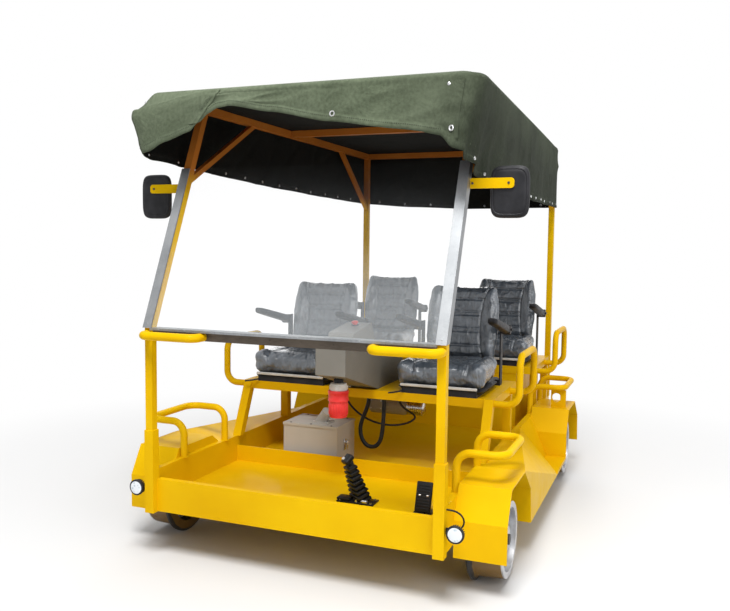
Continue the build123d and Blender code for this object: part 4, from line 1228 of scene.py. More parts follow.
    def cast(self, surface: BVHTree, side: str, place: float, z: float) -> tuple[Vector, Vector]:
        """Point and outward direction on a valance.

        Args:
            surface: The cloth's faces.
            side: Which valance.
            place: X on the front and rear, distance behind the posts on the sides.
            z: Height.

        Returns:
            The point on the cloth and its direction.
        """
        facing = {"front": FORWARD, "rear": REARWARD, "left": -RIGHT, "right": RIGHT}[side]
        centre = Vector((place, 0, z)) if facing.y else Vector((0, behind(place), z))
        start = centre + facing * 4.0
        point, normal, _, _ = surface.ray_cast(start, -facing)
        if point is None:
            return centre + facing, facing
        return point, normal if normal.dot(facing) > 0 else -normal

    def above_hem(self, surface: BVHTree, side: str, place: float, rise: float) -> tuple[Vector, Vector]:
        """Point and outward direction on a valance, this far above its hem."""
        return self.cast(surface, side, place, follow(self.hems[side], place) + rise)

    def eyelets(self, surface: BVHTree) -> list[Piece]:
        """Large rings on the front valance, small ones along the hems, and corner snaps."""
        rings = [self.cast(surface, "front", x, z) for x, z in ((0.20, 2.172), (0.755, 2.084))]
        large = [(point + axis * 0.003, axis) for point, axis in rings]
        small = []
        for side, start, gap, count in (("right", 0.16, 0.225, 13), ("left", 0.16, 0.225, 13),
                                        ("rear", -0.66, 0.22, 7)):
            for k in range(count):
                small.append(self.above_hem(surface, side, start + gap * k, self.eyelet_rise))
        spots = ((0.735, 2.272), (-0.842, 2.285), (-0.86, 2.06))
        snaps = [self.cast(surface, "front", x, z) for x, z in spots]
        both = [(point - axis * 0.004, -axis) for point, axis in small]
        return [Studs("canopy_rings", Head.EYELET, 0.011, 0.0035, Finish.BRIGHT).build(large),
                Studs("canopy_eyelets", Head.EYELET, 0.006, 0.0022, Finish.BRIGHT).build(small + both),
                Studs("canopy_snaps", Head.RIVET, 0.008, 0.005, Finish.BRIGHT).build(snaps)]

    def hem_stitches(self, surface: BVHTree) -> Piece:
        """Row of stitches above the hem all round."""
        places = []
        for side, table in self.hems.items():
            start, end = table[0][0] + 0.03, table[-1][0] - 0.03
            for k in range(int((end - start) / self.stitch_gap)):
                place = start + self.stitch_gap * k
                places.append(self.above_hem(surface, side, place, self.stitch_rise))
        return Studs("canopy_hem_stitches", Head.BEAD, 0.0032, 0.0009, Finish.THREAD).build(places)

    def lap(self, surface: BVHTree, name: str, start: tuple[float, float],
            end: tuple[float, float]) -> Piece:
        """Strip of canvas lapped over a seam of the front valance, its free edge standing off.

        Args:
            surface: The cloth's faces.
            name: The piece's name.
            start: Seam's upper end, as x and height.
            end: Seam's lower end.

        Returns:
            The piece.
        """
        rings = []
        steps = 28
        for k in range(steps + 1):
            x, z = (blend(first, last, k / steps) for first, last in zip(start, end))
            edge, out = self.cast(surface, "front", x, z)
            inner, _ = self.cast(surface, "front", x - 0.05, z)
            rings.append([inner - out * 0.001, edge - out * 0.001, edge + out * 0.006, inner + out * 0.001])
        piece = Shape().loft(rings).finish(name, Finish.CANVAS)
        cut = piece.data.uv_layers.new(name="cut")
        for corner in piece.data.loops:
            place = piece.data.vertices[corner.vertex_index].co
            cut.data[corner.index].uv = (place.x, self.front + self.edge_radius + place.z - self.tube_top)
        return piece

    def seam_stitches(self, surface: BVHTree) -> Piece:
        """Double row of dark stitches along the lapped seam on the front valance; their darkness also paints the
        shade line under the lap.
        """
        places = []
        for k in range(1, 22):
            share = k / 22
            z = blend(2.315, 2.170, share)
            for aside in (-0.012, -0.022):
                places.append(self.cast(surface, "front", self.seam_x(share) + aside, z))
        return Studs("canopy_seam_stitches_and_shade", Head.BEAD, 0.0030, 0.0012, Finish.THREAD).build(places)


@dataclass
class Seats:
    """Four seats: inflated cushions and backs with sewn channels, trays, strips and levers."""

    voxel: float = 0.0055
    pressure: float = 4.0
    frames: int = 20
    cap: float = 0.012
    panel_half: float = 0.158
    back_thickness: float = 0.092
    back_half_height: float = 0.226
    seat_width: float = 0.524
    back_width: float = 0.436
    back_depth: float = 0.074
    fill: float = 0.75

    def simulate(self, piece: Piece) -> None:
        """Inflate a closed pad a little and keep the result as its mesh.

        Args:
            piece: Pad that gets the new mesh.
        """
        rest = [vert.co.copy() for vert in piece.data.vertices]
        cloth = piece.modifiers.new("inflate", "CLOTH")
        settings = cloth.settings
        settings.use_pressure = True
        settings.uniform_pressure_force = self.pressure
        settings.effector_weights.gravity = 0
        settings.quality = 4
        settings.tension_stiffness = 12
        settings.compression_stiffness = 12
        settings.bending_stiffness = 0.6
        cloth.point_cache.frame_start = 1
        cloth.point_cache.frame_end = self.frames
        for number in range(1, self.frames + 1):
            bpy.context.scene.frame_set(number)
        graph = bpy.context.evaluated_depsgraph_get()
        swollen = [vert.co.copy() for vert in piece.evaluated_get(graph).data.vertices]
        piece.modifiers.remove(cloth)
        bpy.context.scene.frame_set(1)
        for vert, start, end in zip(piece.data.vertices, rest, swollen):
            move = end - start
            if move.length > self.cap:
                move = move.normalized() * self.cap
            vert.co = start + move

    def pad(self, name: str, size: Point, outline: Callable[[Vector], Vector]) -> bpy.types.Mesh:
        """Padded template about the origin: rounded block, remeshed, smoothed and inflated.

        Args:
            name: Template's name.
            size: Width, depth and height before inflation.
            outline: Moves each point of the plain block to the pad's outline.

        Returns:
            The template's mesh.
        """
        shape = Shape().block((0, 0, 0), size, 0.34 * min(size), segments=6)
        bmesh.ops.subdivide_edges(shape.mesh, edges=shape.mesh.edges, cuts=7, use_grid_fill=True)
        for vert in shape.mesh.verts:
            vert.co = outline(vert.co)
        data = bpy.data.meshes.new(name)
        shape.mesh.to_mesh(data)
        shape.mesh.free()
        holder = linked(name, data)
        remesh = holder.modifiers.new("voxels", "REMESH")
        remesh.mode = "VOXEL"
        remesh.voxel_size = self.voxel
        remesh.use_smooth_shade = True
        relax = holder.modifiers.new("relax", "SMOOTH")
        relax.iterations = 4
        graph = bpy.context.evaluated_depsgraph_get()
        even = bpy.data.meshes.new_from_object(holder.evaluated_get(graph))
        holder.modifiers.clear()
        holder.data = even
        self.simulate(holder)
        bpy.data.objects.remove(holder)
        return even

    def groove(self, distance: float, width: float = 0.006) -> float:
        """Depth share of a sewn channel at a distance from its line."""
        return math.exp(-(distance / width) ** 2)

    def cushion_relief(self, co: Vector) -> float:
        """Outward offset of a cushion's point: bolsters, channels and front roll."""
        if co.z < 0.0:
            return 0.0
        up = smooth_step(0.0, 0.05, co.z)
        out = 0.012 * smooth_step(self.panel_half, self.panel_half + 0.045, abs(co.x)) * up
        out += 0.014 * smooth_step(0.09, 0.19, co.y) * up
        out -= 0.007 * self.groove(abs(co.x) - self.panel_half) * up
        if abs(co.x) < self.panel_half:
            for line in (-0.105, 0.02):
                out -= 0.005 * self.groove(co.y - line) * up
        return out

    def back_relief(self, co: Vector) -> float:
        """Outward offset of a back's point: bolsters and channels on its front."""
        if co.y > 0.0:
            return 0.0
        ahead = smooth_step(0.0, -0.03, co.y)
        side = 0.112 + 0.9 * max(co.z, 0.0) ** 2 + 0.5 * min(co.z, 0.0) ** 2
        out = 0.016 * smooth_step(side, side + 0.06, abs(co.x)) * ahead
        out -= 0.010 * self.groove(abs(co.x) - side) * ahead
        if abs(co.x) < side:
            for line in (-0.140, -0.055, -0.038, 0.045, 0.062, 0.140):
                out -= 0.007 * self.groove(co.z - line, 0.006) * ahead
        return out

    def wrinkle(self, co: Vector, seed: float, pull: Point) -> float:
        """Creases of the film over the pad: ridges along the pull and fine crinkles."""
        along = Vector((co.x * pull[0], co.y * pull[1], co.z * pull[2]))
        along += Vector((seed, seed * 1.7, seed * 0.6))
        ridge = 1 - abs(noise.noise(along * 9.0))
        fine = 1 - abs(noise.noise(along * 23.0 + Vector((4.1, 0, 0))))
        return 0.0042 * ridge ** 9 + 0.0020 * fine ** 7 - 0.0014

    def dress(self, template: bpy.types.Mesh, relief: Callable[[Vector], float], seed: float, pull: Point,
              turn: Matrix, name: str, node: str, low_z: float) -> None:
        """Copy a template to one seat with its own creases.

        Args:
            template: Pad's mesh about the origin.
            relief: Outward offset at a point.
            seed: Shift of the creases.
            pull: Stretch of the creases on each axis.
            turn: Place of the pad.
            name: The piece's name.
            node: Node that it stands for.
            low_z: Height below which the pad stays flat.
        """
        data = template.copy()
        moved = [vert.co + vert.normal * (relief(vert.co) + self.wrinkle(vert.co, seed, pull))
                 for vert in template.vertices]
        for vert, co in zip(data.vertices, moved):
            vert.co = Vector((co.x, co.y, max(co.z, low_z)))
        data.transform(turn)
        data.materials.clear()
        data.shade_smooth()
        piece = place_piece(name, data, Finish.VINYL, CHASSIS, (node,))

    def cushion_outline(self, co: Vector) -> Vector:
        """Cushion's plan: sides drawn in a little towards the back, front corners rounder."""
        depth = co.y / 0.21
        return Vector((co.x * (1 - 0.05 * depth - 0.03 * depth * depth), co.y, co.z * (1 - 0.05 * depth)))

    def back_outline(self, co: Vector) -> Vector:
        """Back's face: wings at the middle, rounded shoulders and a waist at the foot."""
        share = co.z / self.back_half_height
        width = 1.0 - 0.12 * smooth_step(0.40, 1.05, share) - 0.08 * smooth_step(-0.35, -1.05, share)
        dish = 0.022 * (1 - (co.x / 0.24) ** 2)
        return Vector((co.x * width, co.y + dish - 0.012, co.z))

    def build(self) -> None:
        """Build all four seats."""
        low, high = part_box("seat_cushions_front")
        cushion_size = (self.seat_width - 0.022, high.y - low.y - 0.020, high.z - low.z - 0.024)
        cushion = self.pad("cushion_pad", cushion_size, self.cushion_outline)
        back_size = (self.back_width, self.back_depth, 2 * self.back_half_height)
        back = self.pad("back_pad", back_size, self.back_outline)
        seat_x = (high.x - low.x - self.seat_width) / 2
        for row_number, row in enumerate(ROWS):
            low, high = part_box(f"seat_cushions_{row}")
            back_low, back_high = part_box(f"seat_backs_{row}")
            run = back_high - back_low
            lean = Matrix.Rotation(-math.atan2(run.y - self.back_thickness, run.z), 4, "X")
            for side_number, (side, sign) in enumerate(SIDES.items()):
                seed = 3.1 + 5.3 * row_number + 2.9 * side_number
                centre = Vector((sign * seat_x, (low.y + high.y) / 2, (low.z + high.z) / 2))
                self.dress(cushion, self.cushion_relief, seed, (1.0, 0.55, 1.0), Matrix.Translation(centre),
                           f"cushion_{row}_{side}", f"seat_cushions_{row}", low.z - centre.z)
                rest = Vector((sign * seat_x, (back_low.y + back_high.y) / 2 + 0.004,
                               (back_low.z + back_high.z) / 2 + 0.004))
                place = Matrix.Translation(rest) @ lean
                self.dress(back, self.back_relief, seed + 1.3, (1.0, 1.0, 0.5), place,
                           f"seat_back_{row}_{side}", f"seat_backs_{row}", -1.0)
            self.trays(row, seat_x)
        for template in (cushion, back):
            bpy.data.meshes.remove(template)

    def trays(self, row: str, seat_x: float) -> None:
        """Black tray, pale strip and slide lever under each cushion of a row.

        Args:
            row: "front" or "rear".
            seat_x: Distance of a seat from the middle.
        """
        low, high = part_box(f"seat_cushions_{row}")
        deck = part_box(f"seat_platform_{row}")[1].z
        tray, strip, lever = Shape(), Shape(), Shape()
        for sign in SIDES.values():
            x = sign * seat_x
            half, front, rear = 0.246, low.y + 0.006, high.y + 0.010
            rings = []
            for inset, z in ((0.045, deck + 0.0006), (0.012, deck + 0.018), (0.0, low.z - 0.003),
                             (0.006, low.z - 0.0008)):
                rings.append(self.rounded(x, half - inset, front + inset, rear - inset, 0.05, z))
            tray.loft(rings)
            strip.block((x, low.y - 0.002, low.z + 0.012), (0.44, 0.012, 0.016), 0.005)
            start = Vector((x - 0.20, front + 0.05, deck + 0.012))
            lever.tube((start, start + Vector((-0.006, -0.06, 0)), start + Vector((-0.045, -0.095, -0.006)),
                        start + Vector((-0.075, -0.10, -0.010))), 0.005)
        tray.finish(f"seat_trays_{row}", Finish.BLACK, slot="black_plastic")
        strip.finish(f"seat_strips_{row}", Finish.TRIM)
        lever.finish(f"seat_levers_{row}", Finish.BLACK, slot="black_plastic")

    def rounded(self, x: float, half: float, front: float, rear: float, radius: float,
                z: float) -> list[Vector]:
        """Level loop of a rectangle with round corners."""
        points = []
        corners = ((half, rear, 0), (-half, rear, 90), (-half, front, 180), (half, front, 270))
        for across, along, start in corners:
            centre = Vector((x + across - math.copysign(radius, across),
                             along - radius if along == rear else along + radius, z))
            for k in range(7):
                angle = math.radians(start + 15 * k)
                points.append(centre + Vector((radius * math.cos(angle), radius * math.sin(angle), 0)))
        return points


@dataclass
class Armrests:
    """Eight lift-up arm pads, each on its own pivot."""

    length: float = 0.392
    half_width: float = 0.0285
    boss_radius: float = 0.029
    pin_radius: float = 0.008
    squareness: float = 0.55
    gap: float = 0.0083
    pad_half: float = 0.030
    tip_half: float = 0.01875

    def build(self) -> None:
        """Build every arm on its own body."""
        sections = ((-0.020, 0.55, 0.014), (-0.014, 0.85, 0.021), (0.0, 1.0, 0.0245), (0.12, 1.0, 0.0225),
                    (0.26, 1.0, 0.0205), (0.35, 0.97, 0.0185), (0.378, 0.86, 0.0165), (0.389, 0.62, 0.011),
                    (self.length, 0.3, 0.005))
        for joint in frame["joints"]:
            body = joint["child"]
            if not body.startswith("armrest"):
                continue
            pivot = Vector(joint["pos_m"])
            low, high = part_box(body)
            outward = 1 if abs(pivot.x - low.x) < abs(pivot.x - high.x) else -1
            seat_side = low.x if outward > 0 else high.x
            pad_x = seat_side + outward * (self.gap + self.pad_half)
            shape = Shape()
            slope = (high.z - pivot.z - self.tip_half) / self.length
            rings = []
            for along, wide, tall in sections:
                centre = Vector((pad_x, pivot.y - along, pivot.z + slope * max(along, 0.0)))
                rings.append(squarish(centre, self.half_width * wide, tall, self.squareness, 24))
            shape.loft(rings)
            axis = RIGHT * outward
            near = Vector((seat_side + outward * 0.0086, pivot.y, pivot.z))
            radius = self.boss_radius
            shape.lathe(((0, radius - 0.003), (0.003, radius), (0.056, radius), (0.0592, radius - 0.004)),
                        near, axis, 36)
            shape.lathe(((-0.0082, self.pin_radius), (0.004, self.pin_radius)), near, axis, 16)
            name = body.replace("armrest", "arm_pad")
            shape.finish(name, Finish.BLACK, body, (body,), "black_plastic")


@dataclass
class Cables:
    """Three free cables on the routes of their solids."""

    power: tuple[Point, ...] = (
        (0.018, 1.020, 0.739), (0.018, 1.020, 0.694), (0.003, 1.020, 0.636), (-0.022, 1.020, 0.580),
        (-0.039, 1.020, 0.520), (-0.030, 1.020, 0.460), (0.004, 1.020, 0.416), (0.055, 1.020, 0.412),
        (0.090, 1.020, 0.450), (0.101, 1.020, 0.508), (0.106, 1.020, 0.572), (0.109, 1.020, 0.636),
        (0.110, 1.020, 0.694), (0.110, 1.020, 0.739))
    signal: tuple[Point, ...] = (
        (-0.150, 1.062, 0.739), (-0.150, 1.062, 0.704), (-0.136, 1.062, 0.664), (-0.104, 1.062, 0.624),
        (-0.056, 1.062, 0.588), (0.004, 1.062, 0.560), (0.072, 1.062, 0.544), (0.142, 1.064, 0.541),
        (0.204, 1.068, 0.551), (0.250, 1.076, 0.568), (0.274, 1.090, 0.586), (0.270, 1.108, 0.602),
        (0.242, 1.118, 0.616), (0.204, 1.116, 0.634), (0.176, 1.108, 0.664), (0.168, 1.104, 0.704),
        (0.168, 1.104, 0.739))
    lamp: tuple[Point, ...] = (
        (0.775, 0.012, 0.452), (0.797, 0.012, 0.452), (0.822, 0.017, 0.446), (0.840, 0.028, 0.428),
        (0.846, 0.042, 0.404), (0.842, 0.054, 0.382), (0.833, 0.058, 0.365), (0.825, 0.046, 0.360),
        (0.825, 0.028, 0.360))

    def cord(self, name: str, node: str, route: Sequence[Point], diameter: float) -> None:
        """Build one cable as a smooth spline.

        Args:
            name: The piece's name.
            node: Node that it stands for.
            route: Control points; the second number is the distance behind the posts.
            diameter: Cable's diameter.
        """
        data = bpy.data.curves.new(name, "CURVE")
        data.dimensions = "3D"
        data.bevel_depth = diameter / 2
        data.bevel_resolution = 5
        data.resolution_u = 8
        spline = data.splines.new("NURBS")
        spline.points.add(len(route) - 1)
        for point, (x, distance, z) in zip(spline.points, route):
            point.co = (x, behind(distance), z, 1)
        spline.order_u = 3
        spline.use_endpoint_u = True
        data.use_fill_caps = True
        data.materials.append(Finish.CABLE.material)
        piece = place_piece(name, data, Finish.CABLE, CHASSIS, (node,))
        x, distance, z = route[0]

    def glands(self) -> None:
        """Hexagon glands with a dome nut where the cables leave the deck."""
        shape = Shape()
        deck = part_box("cable_glands")[1].z
        for route, radius in ((self.power, 0.019), (self.signal, 0.013)):
            for x, distance, z in (route[0], route[-1]):
                drop = deck - z
                origin = (x, behind(distance), z)
                shape.lathe(((drop * 0.45, radius * 1.08), (drop, radius * 1.08)), origin, UP, 6)
                shape.lathe(((0.0, radius * 0.72), (drop * 0.12, radius * 0.9), (drop * 0.5, radius)),
                            origin, UP, 20)
        shape.finish("hex_glands", Finish.BLACK, replaces=("cable_glands",), slot="cable_black")

    def build(self) -> None:
        """Build the three cables and the glands."""
        self.cord("power_lead", "power_cable", self.power, 0.024)
        self.cord("signal_lead", "signal_cable", self.signal, 0.012)
        self.cord("lamp_lead", "lamp_wire", self.lamp, 0.008)
        self.glands()


@dataclass
class Mirrors:
    """Black mirror shells on flat arms, with the glass on the driver's side."""

    power: float = 0.42
    dome: float = 0.010

    def loop(self, centre: Vector, half: Sequence[float], scale: float, y: float) -> list[Vector]:
        """Squarish loop of the shell at one depth."""
        return squarish(Vector((centre.x, y, centre.z)), half[0] * scale, half[1] * scale, self.power, 64)

    def build(self) -> None:
        """Build both shells, their glasses and the arm bolts."""
        low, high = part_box("mirror_heads")
        half = (0.089, (high.z - low.z) / 2)
        front, rear = low.y, high.y
        shell, glass = Shape(), Shape()
        bolts = []
        arm_low, arm_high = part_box("mirror_arms")
        for sign in SIDES.values():
            centre = Vector((sign * (high.x - half[0]), 0, (low.z + high.z) / 2))
            levels = ((0.70, front), (0.80, front + 0.0006), (0.84, front + 0.0030), (0.87, front + 0.0012),
                      (0.93, front + 0.0030), (0.985, front + self.dome), (1.0, front + 2 * self.dome),
                      (0.985, rear - 0.001), (0.955, rear), (0.93, rear - 0.0005), (0.92, rear - 0.006))
            shell.loft([self.loop(centre, half, scale, y) for scale, y in levels])
            glass.loft([self.loop(centre, half, 0.915, y) for y in (rear - 0.0055, rear - 0.003)])
            bolt = Vector((sign * (arm_high.x - 0.024), arm_low.y - 0.001, (arm_low.z + arm_high.z) / 2))
            bolts += [(bolt, FORWARD), (bolt - RIGHT * (sign * 0.165), FORWARD)]
        shell.finish("mirror_shells", Finish.BLACK, replaces=("mirror_heads",), slot="black_plastic")
        glass.finish("mirror_glasses", Finish.MIRROR)
        Studs("mirror_bolts", Head.SCREW, 0.006, 0.006, Finish.AXLE).build(bolts)


@dataclass
class Headlights:
    """Round lamps: finned housing, dark bezel and a bright celled lens."""

    fins: int = 22

    def build(self) -> None:
        """Build both lamps."""
        low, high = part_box("headlights")
        lens_low, lens_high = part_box("headlight_lenses")
        radius = (high.z - low.z) / 2
        z = (low.z + high.z) / 2
        x = lens_high.x - (radius - 0.005)
        face = lens_low.y
        body, lens = Shape(), Shape()
        depth = high.y - face
        post_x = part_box("front_posts")[1].x
        for sign in SIDES.values():
            origin = (sign * x, face, z)
            profile = ((0.0045, radius - 0.008), (0.003, radius - 0.004), (0.006, radius), (0.014, radius),
                       (0.017, radius - 0.003), (0.022, radius - 0.004), (0.040, radius - 0.012),
                       (depth - 0.014, radius - 0.020), (depth - 0.013, 0.013), (depth, 0.012))
            body.lathe(profile, origin, REARWARD, 48)
            for k in range(self.fins):
                angle = math.tau * k / self.fins
                spot = Vector((sign * x + (radius - 0.009) * math.cos(angle), face + 0.029,
                               z + (radius - 0.009) * math.sin(angle)))
                body.block(spot, (0.010, 0.022, 0.0025), 0.0008, Matrix.Rotation(-angle, 3, "Y"), 1)
            reach = x - post_x
            body.block((sign * (post_x + reach / 2), face + 0.040, z), (reach, 0.007, 0.030), 0.002)
            lens.lathe(((0.0065, radius - 0.0082), (0.003, radius - 0.0085), (0.0012, radius * 0.6),
                        (0.0006, radius * 0.3), (0.0004, 0.002)), origin, REARWARD, 48)
        body.finish("lamp_housings", Finish.BLACK, replaces=("headlights",), slot="black_plastic")
        lens.finish("lamp_lenses", Finish.LENS, replaces=("headlight_lenses",), slot="lamp_lens")


@dataclass
class Windscreen:
    """Rivets along the bright strips and the sill, and screws on the dash band."""

    gap: float = 0.115
    sill_gap: float = 0.17
    dash_half: float = 0.40
    dash_gap: float = 0.2

    def build(self) -> None:
        """Build the rivet rows."""
        low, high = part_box("windscreen_strips")
        rake = math.atan2(high.y - low.y, high.z - low.z)
        facing = Vector((0, -math.cos(rake), math.sin(rake)))
        places = []
        for sign in SIDES.values():
            x = sign * (high.x - 0.0225)
            start = Vector((x, low.y + 0.010, low.z + 0.020)) + facing * 0.0005
            end = Vector((x, high.y - 0.012, high.z - 0.020)) + facing * 0.0005
            places += row_of(start, end, self.gap, facing)
        low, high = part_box("windscreen_sill")
        z = middle("windscreen_sill").z
        places += row_of((low.x + 0.05, low.y, z), (high.x - 0.05, low.y, z), self.sill_gap, FORWARD)
        Studs("windscreen_rivets", Head.RIVET, 0.0048, 0.0024, Finish.ALUMINIUM).build(places)
        front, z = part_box("dash_band")[0].y, middle("dash_band").z
        row = row_of((-self.dash_half, front, z), (self.dash_half, front, z), self.dash_gap, FORWARD)
        Studs("dash_screws", Head.RIVET, 0.0055, 0.0025, Finish.DASH).build(row, "dash_steel")


@dataclass
class Connector:
    """Red connector with gripping ribs, its grey cap and gland, and the screws of the socket."""

    ribs: int = 20
    cap_ribs: int = 10

    def build(self) -> None:
        """Build the connector, its cap and gland, and the socket's screws."""
        low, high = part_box("charge_plug")
        centre = middle("charge_plug")
        radius = (high.x - low.x) / 2
        tall = high.z - low.z
        body = Shape()
        origin = (centre.x, centre.y, low.z)
        body.lathe(((0.004, radius * 0.62), (0.0, radius * 0.72), (0.003, radius * 0.84),
                    (0.010, radius * 0.88), (tall - 0.062, radius * 0.90),
                    (tall - 0.058, radius * 0.985), (tall - 0.046, radius),
                    (tall - 0.040, radius * 0.95), (tall - 0.020, radius * 0.95), (tall - 0.016, radius),
                    (tall - 0.003, radius), (tall, radius * 0.96)), origin, UP, 56)
        for k in range(self.ribs):
            angle = math.tau * k / self.ribs
            spot = Vector(origin) + Vector((radius * 0.9 * math.cos(angle), radius * 0.9 * math.sin(angle),
                                            (tall - 0.075) / 2 + 0.010))
            body.block(spot, (0.0045, 0.007, tall - 0.092), 0.0018, Matrix.Rotation(angle, 3, "Z"), 2)
        body.finish("connector_body", Finish.RED, replaces=("charge_plug",), slot="signal_red")
        cap_low, cap_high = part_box("plug_cap")
        cap_radius = (cap_high.x - cap_low.x) / 2
        drop = 0.040
        cap = Shape().lathe(((0.0, cap_radius * 0.97), (0.004, cap_radius),
                             (drop - 0.012, cap_radius * 0.97), (drop - 0.004, cap_radius * 0.9),
                             (drop, cap_radius * 0.74)),
                            (centre.x, centre.y, cap_low.z), UP, 48)
        for k in range(self.cap_ribs):
            angle = math.tau * (k + 0.5) / self.cap_ribs
            spot = Vector((centre.x + cap_radius * 0.96 * math.cos(angle),
                           centre.y + cap_radius * 0.96 * math.sin(angle), cap_low.z + 0.016))
            cap.block(spot, (0.006, 0.010, 0.020), 0.002, Matrix.Rotation(angle, 3, "Z"), 2)
        cap.finish("connector_cap", Finish.CAP, replaces=("plug_cap",), slot="cap_grey")
        nut = Shape().lathe(((0.0, cap_radius * 0.6), (0.018, cap_radius * 0.6)),
                            (centre.x, centre.y, cap_low.z + drop - 0.001), UP, 6)
        reach = cap_high.z - cap_low.z - drop - 0.016
        nut.lathe(((0.0, cap_radius * 0.42), (reach, cap_radius * 0.36)),
                  (centre.x, centre.y, cap_low.z + drop + 0.016), UP, 24)
        nut.finish("connector_gland", Finish.BLACK)
        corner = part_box("plug_base")[0] + Vector((0.016, 0.020, 0.0105))
        screws = four(corner, (0.078, 0, 0), (0, 0.05, 0), UP)
        Studs("socket_screws", Head.SCREW, 0.006, 0.006, Finish.BRIGHT).build(screws)


@dataclass
class ControllerBox:
    """Lid screws and latch on the floor box, and the stop button."""

    screw_gap: float = 0.135

    def build(self) -> None:
        """Build the fittings on the box and the stop button."""
        low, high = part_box("controller_box")
        screws = []
        for y in (low.y + 0.018, high.y - 0.018):
            screws += row_of((low.x + 0.045, y, high.z), (high.x - 0.045, y, high.z), self.screw_gap, UP)
        Studs("box_screws", Head.RIVET, 0.007, 0.0035, Finish.AXLE).build(screws)
        latch = Shape()
        spot = Vector((high.x - 0.004, blend(low.y, high.y, 0.42), low.z + 0.125))
        latch.block(spot + Vector((0.004, 0, 0)), (0.008, 0.024, 0.064), 0.003)
        pivot = spot + Vector((0.006, 0, 0.014))
        latch.lathe(((0.0, 0.010), (0.016, 0.009), (0.018, 0.007)), pivot, RIGHT, 24)
        latch.block(spot + Vector((0.020, 0, 0.0)), (0.007, 0.013, 0.056), 0.003)
        latch.finish("box_latch", Finish.BRIGHT)
        self.stop_button()

    def stop_button(self) -> None:
        """Mushroom button with a collar on the raised panel."""
        axis = Vector((0, -0.127, 0.992)).normalized()
        foot = middle("emergency_stop") - axis * 0.0135
        button = Shape().lathe(((0.0, 0.0130), (0.012, 0.0130), (0.0125, 0.0185), (0.016, 0.0196),
                                (0.021, 0.0185), (0.0245, 0.0140), (0.0262, 0.0060), (0.0266, 0.0008)),
                               foot, axis, 40)
        button.finish("stop_button", Finish.RED, replaces=("emergency_stop",), slot="signal_red")
        collar = Shape().lathe(((0.0002, 0.0135), (0.0002, 0.0215), (0.004, 0.0205), (0.005, 0.0135)),
                               foot, axis, 40)
        collar.finish("stop_collar", Finish.BLACK, slot="black_plastic")


@dataclass
class Motor:
    """Drive motor: grey barrel, terminal box with screws and a bright finned end."""

    fins: int = 7
    fin_gap: float = 0.014
    axis_distance: float = 1.395
    axis_z: float = 0.590
    radius: float = 0.054

    def build(self) -> None:
        """Build the motor."""
        low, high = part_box("drive_motor")
        deck = high.z
        axis_y, axis_z = behind(self.axis_distance), self.axis_z
        radius = self.radius
        start = Vector((low.x, axis_y, axis_z))
        profile = ((0.0, 0.55), (0.004, 0.8), (0.010, 0.97), (0.022, 1.0), (0.070, 1.0), (0.073, 0.94),
                   (0.082, 0.94), (0.085, 1.0), (0.225, 1.0), (0.236, 0.96), (0.248, 0.8))
        barrel = Shape().lathe([(along, radius * wide) for along, wide in profile], start, RIGHT, 56)
        barrel.block((low.x + 0.065, axis_y - radius - 0.002, axis_z + 0.014), (0.090, 0.048, 0.068), 0.005)
        barrel.block((low.x + 0.120, axis_y, (axis_z + deck) / 2), (0.118, 0.058, deck - axis_z), 0.004)
        barrel.finish("motor_barrel", Finish.MOTOR, replaces=("drive_motor",), slot="motor_grey")
        tail = Shape().lathe(((0.246, radius * 0.72), (0.352, radius * 0.70), (0.358, radius * 0.5)), start,
                             RIGHT, 40)
        fin = ((0.256, 0.72), (0.257, 0.93), (0.262, 0.93), (0.263, 0.72))
        for k in range(self.fins):
            tail.lathe([(along + self.fin_gap * k, radius * wide) for along, wide in fin], start, RIGHT, 40)
        tail.finish("motor_finned_end", Finish.BRIGHT)
        corner = (low.x + 0.032, axis_y - radius - 0.026, axis_z - 0.010)
        lid = four(corner, (0.066, 0, 0), (0, 0, 0.048), FORWARD)
        Studs("motor_screws", Head.SCREW, 0.0045, 0.006, Finish.BRIGHT).build(lid)


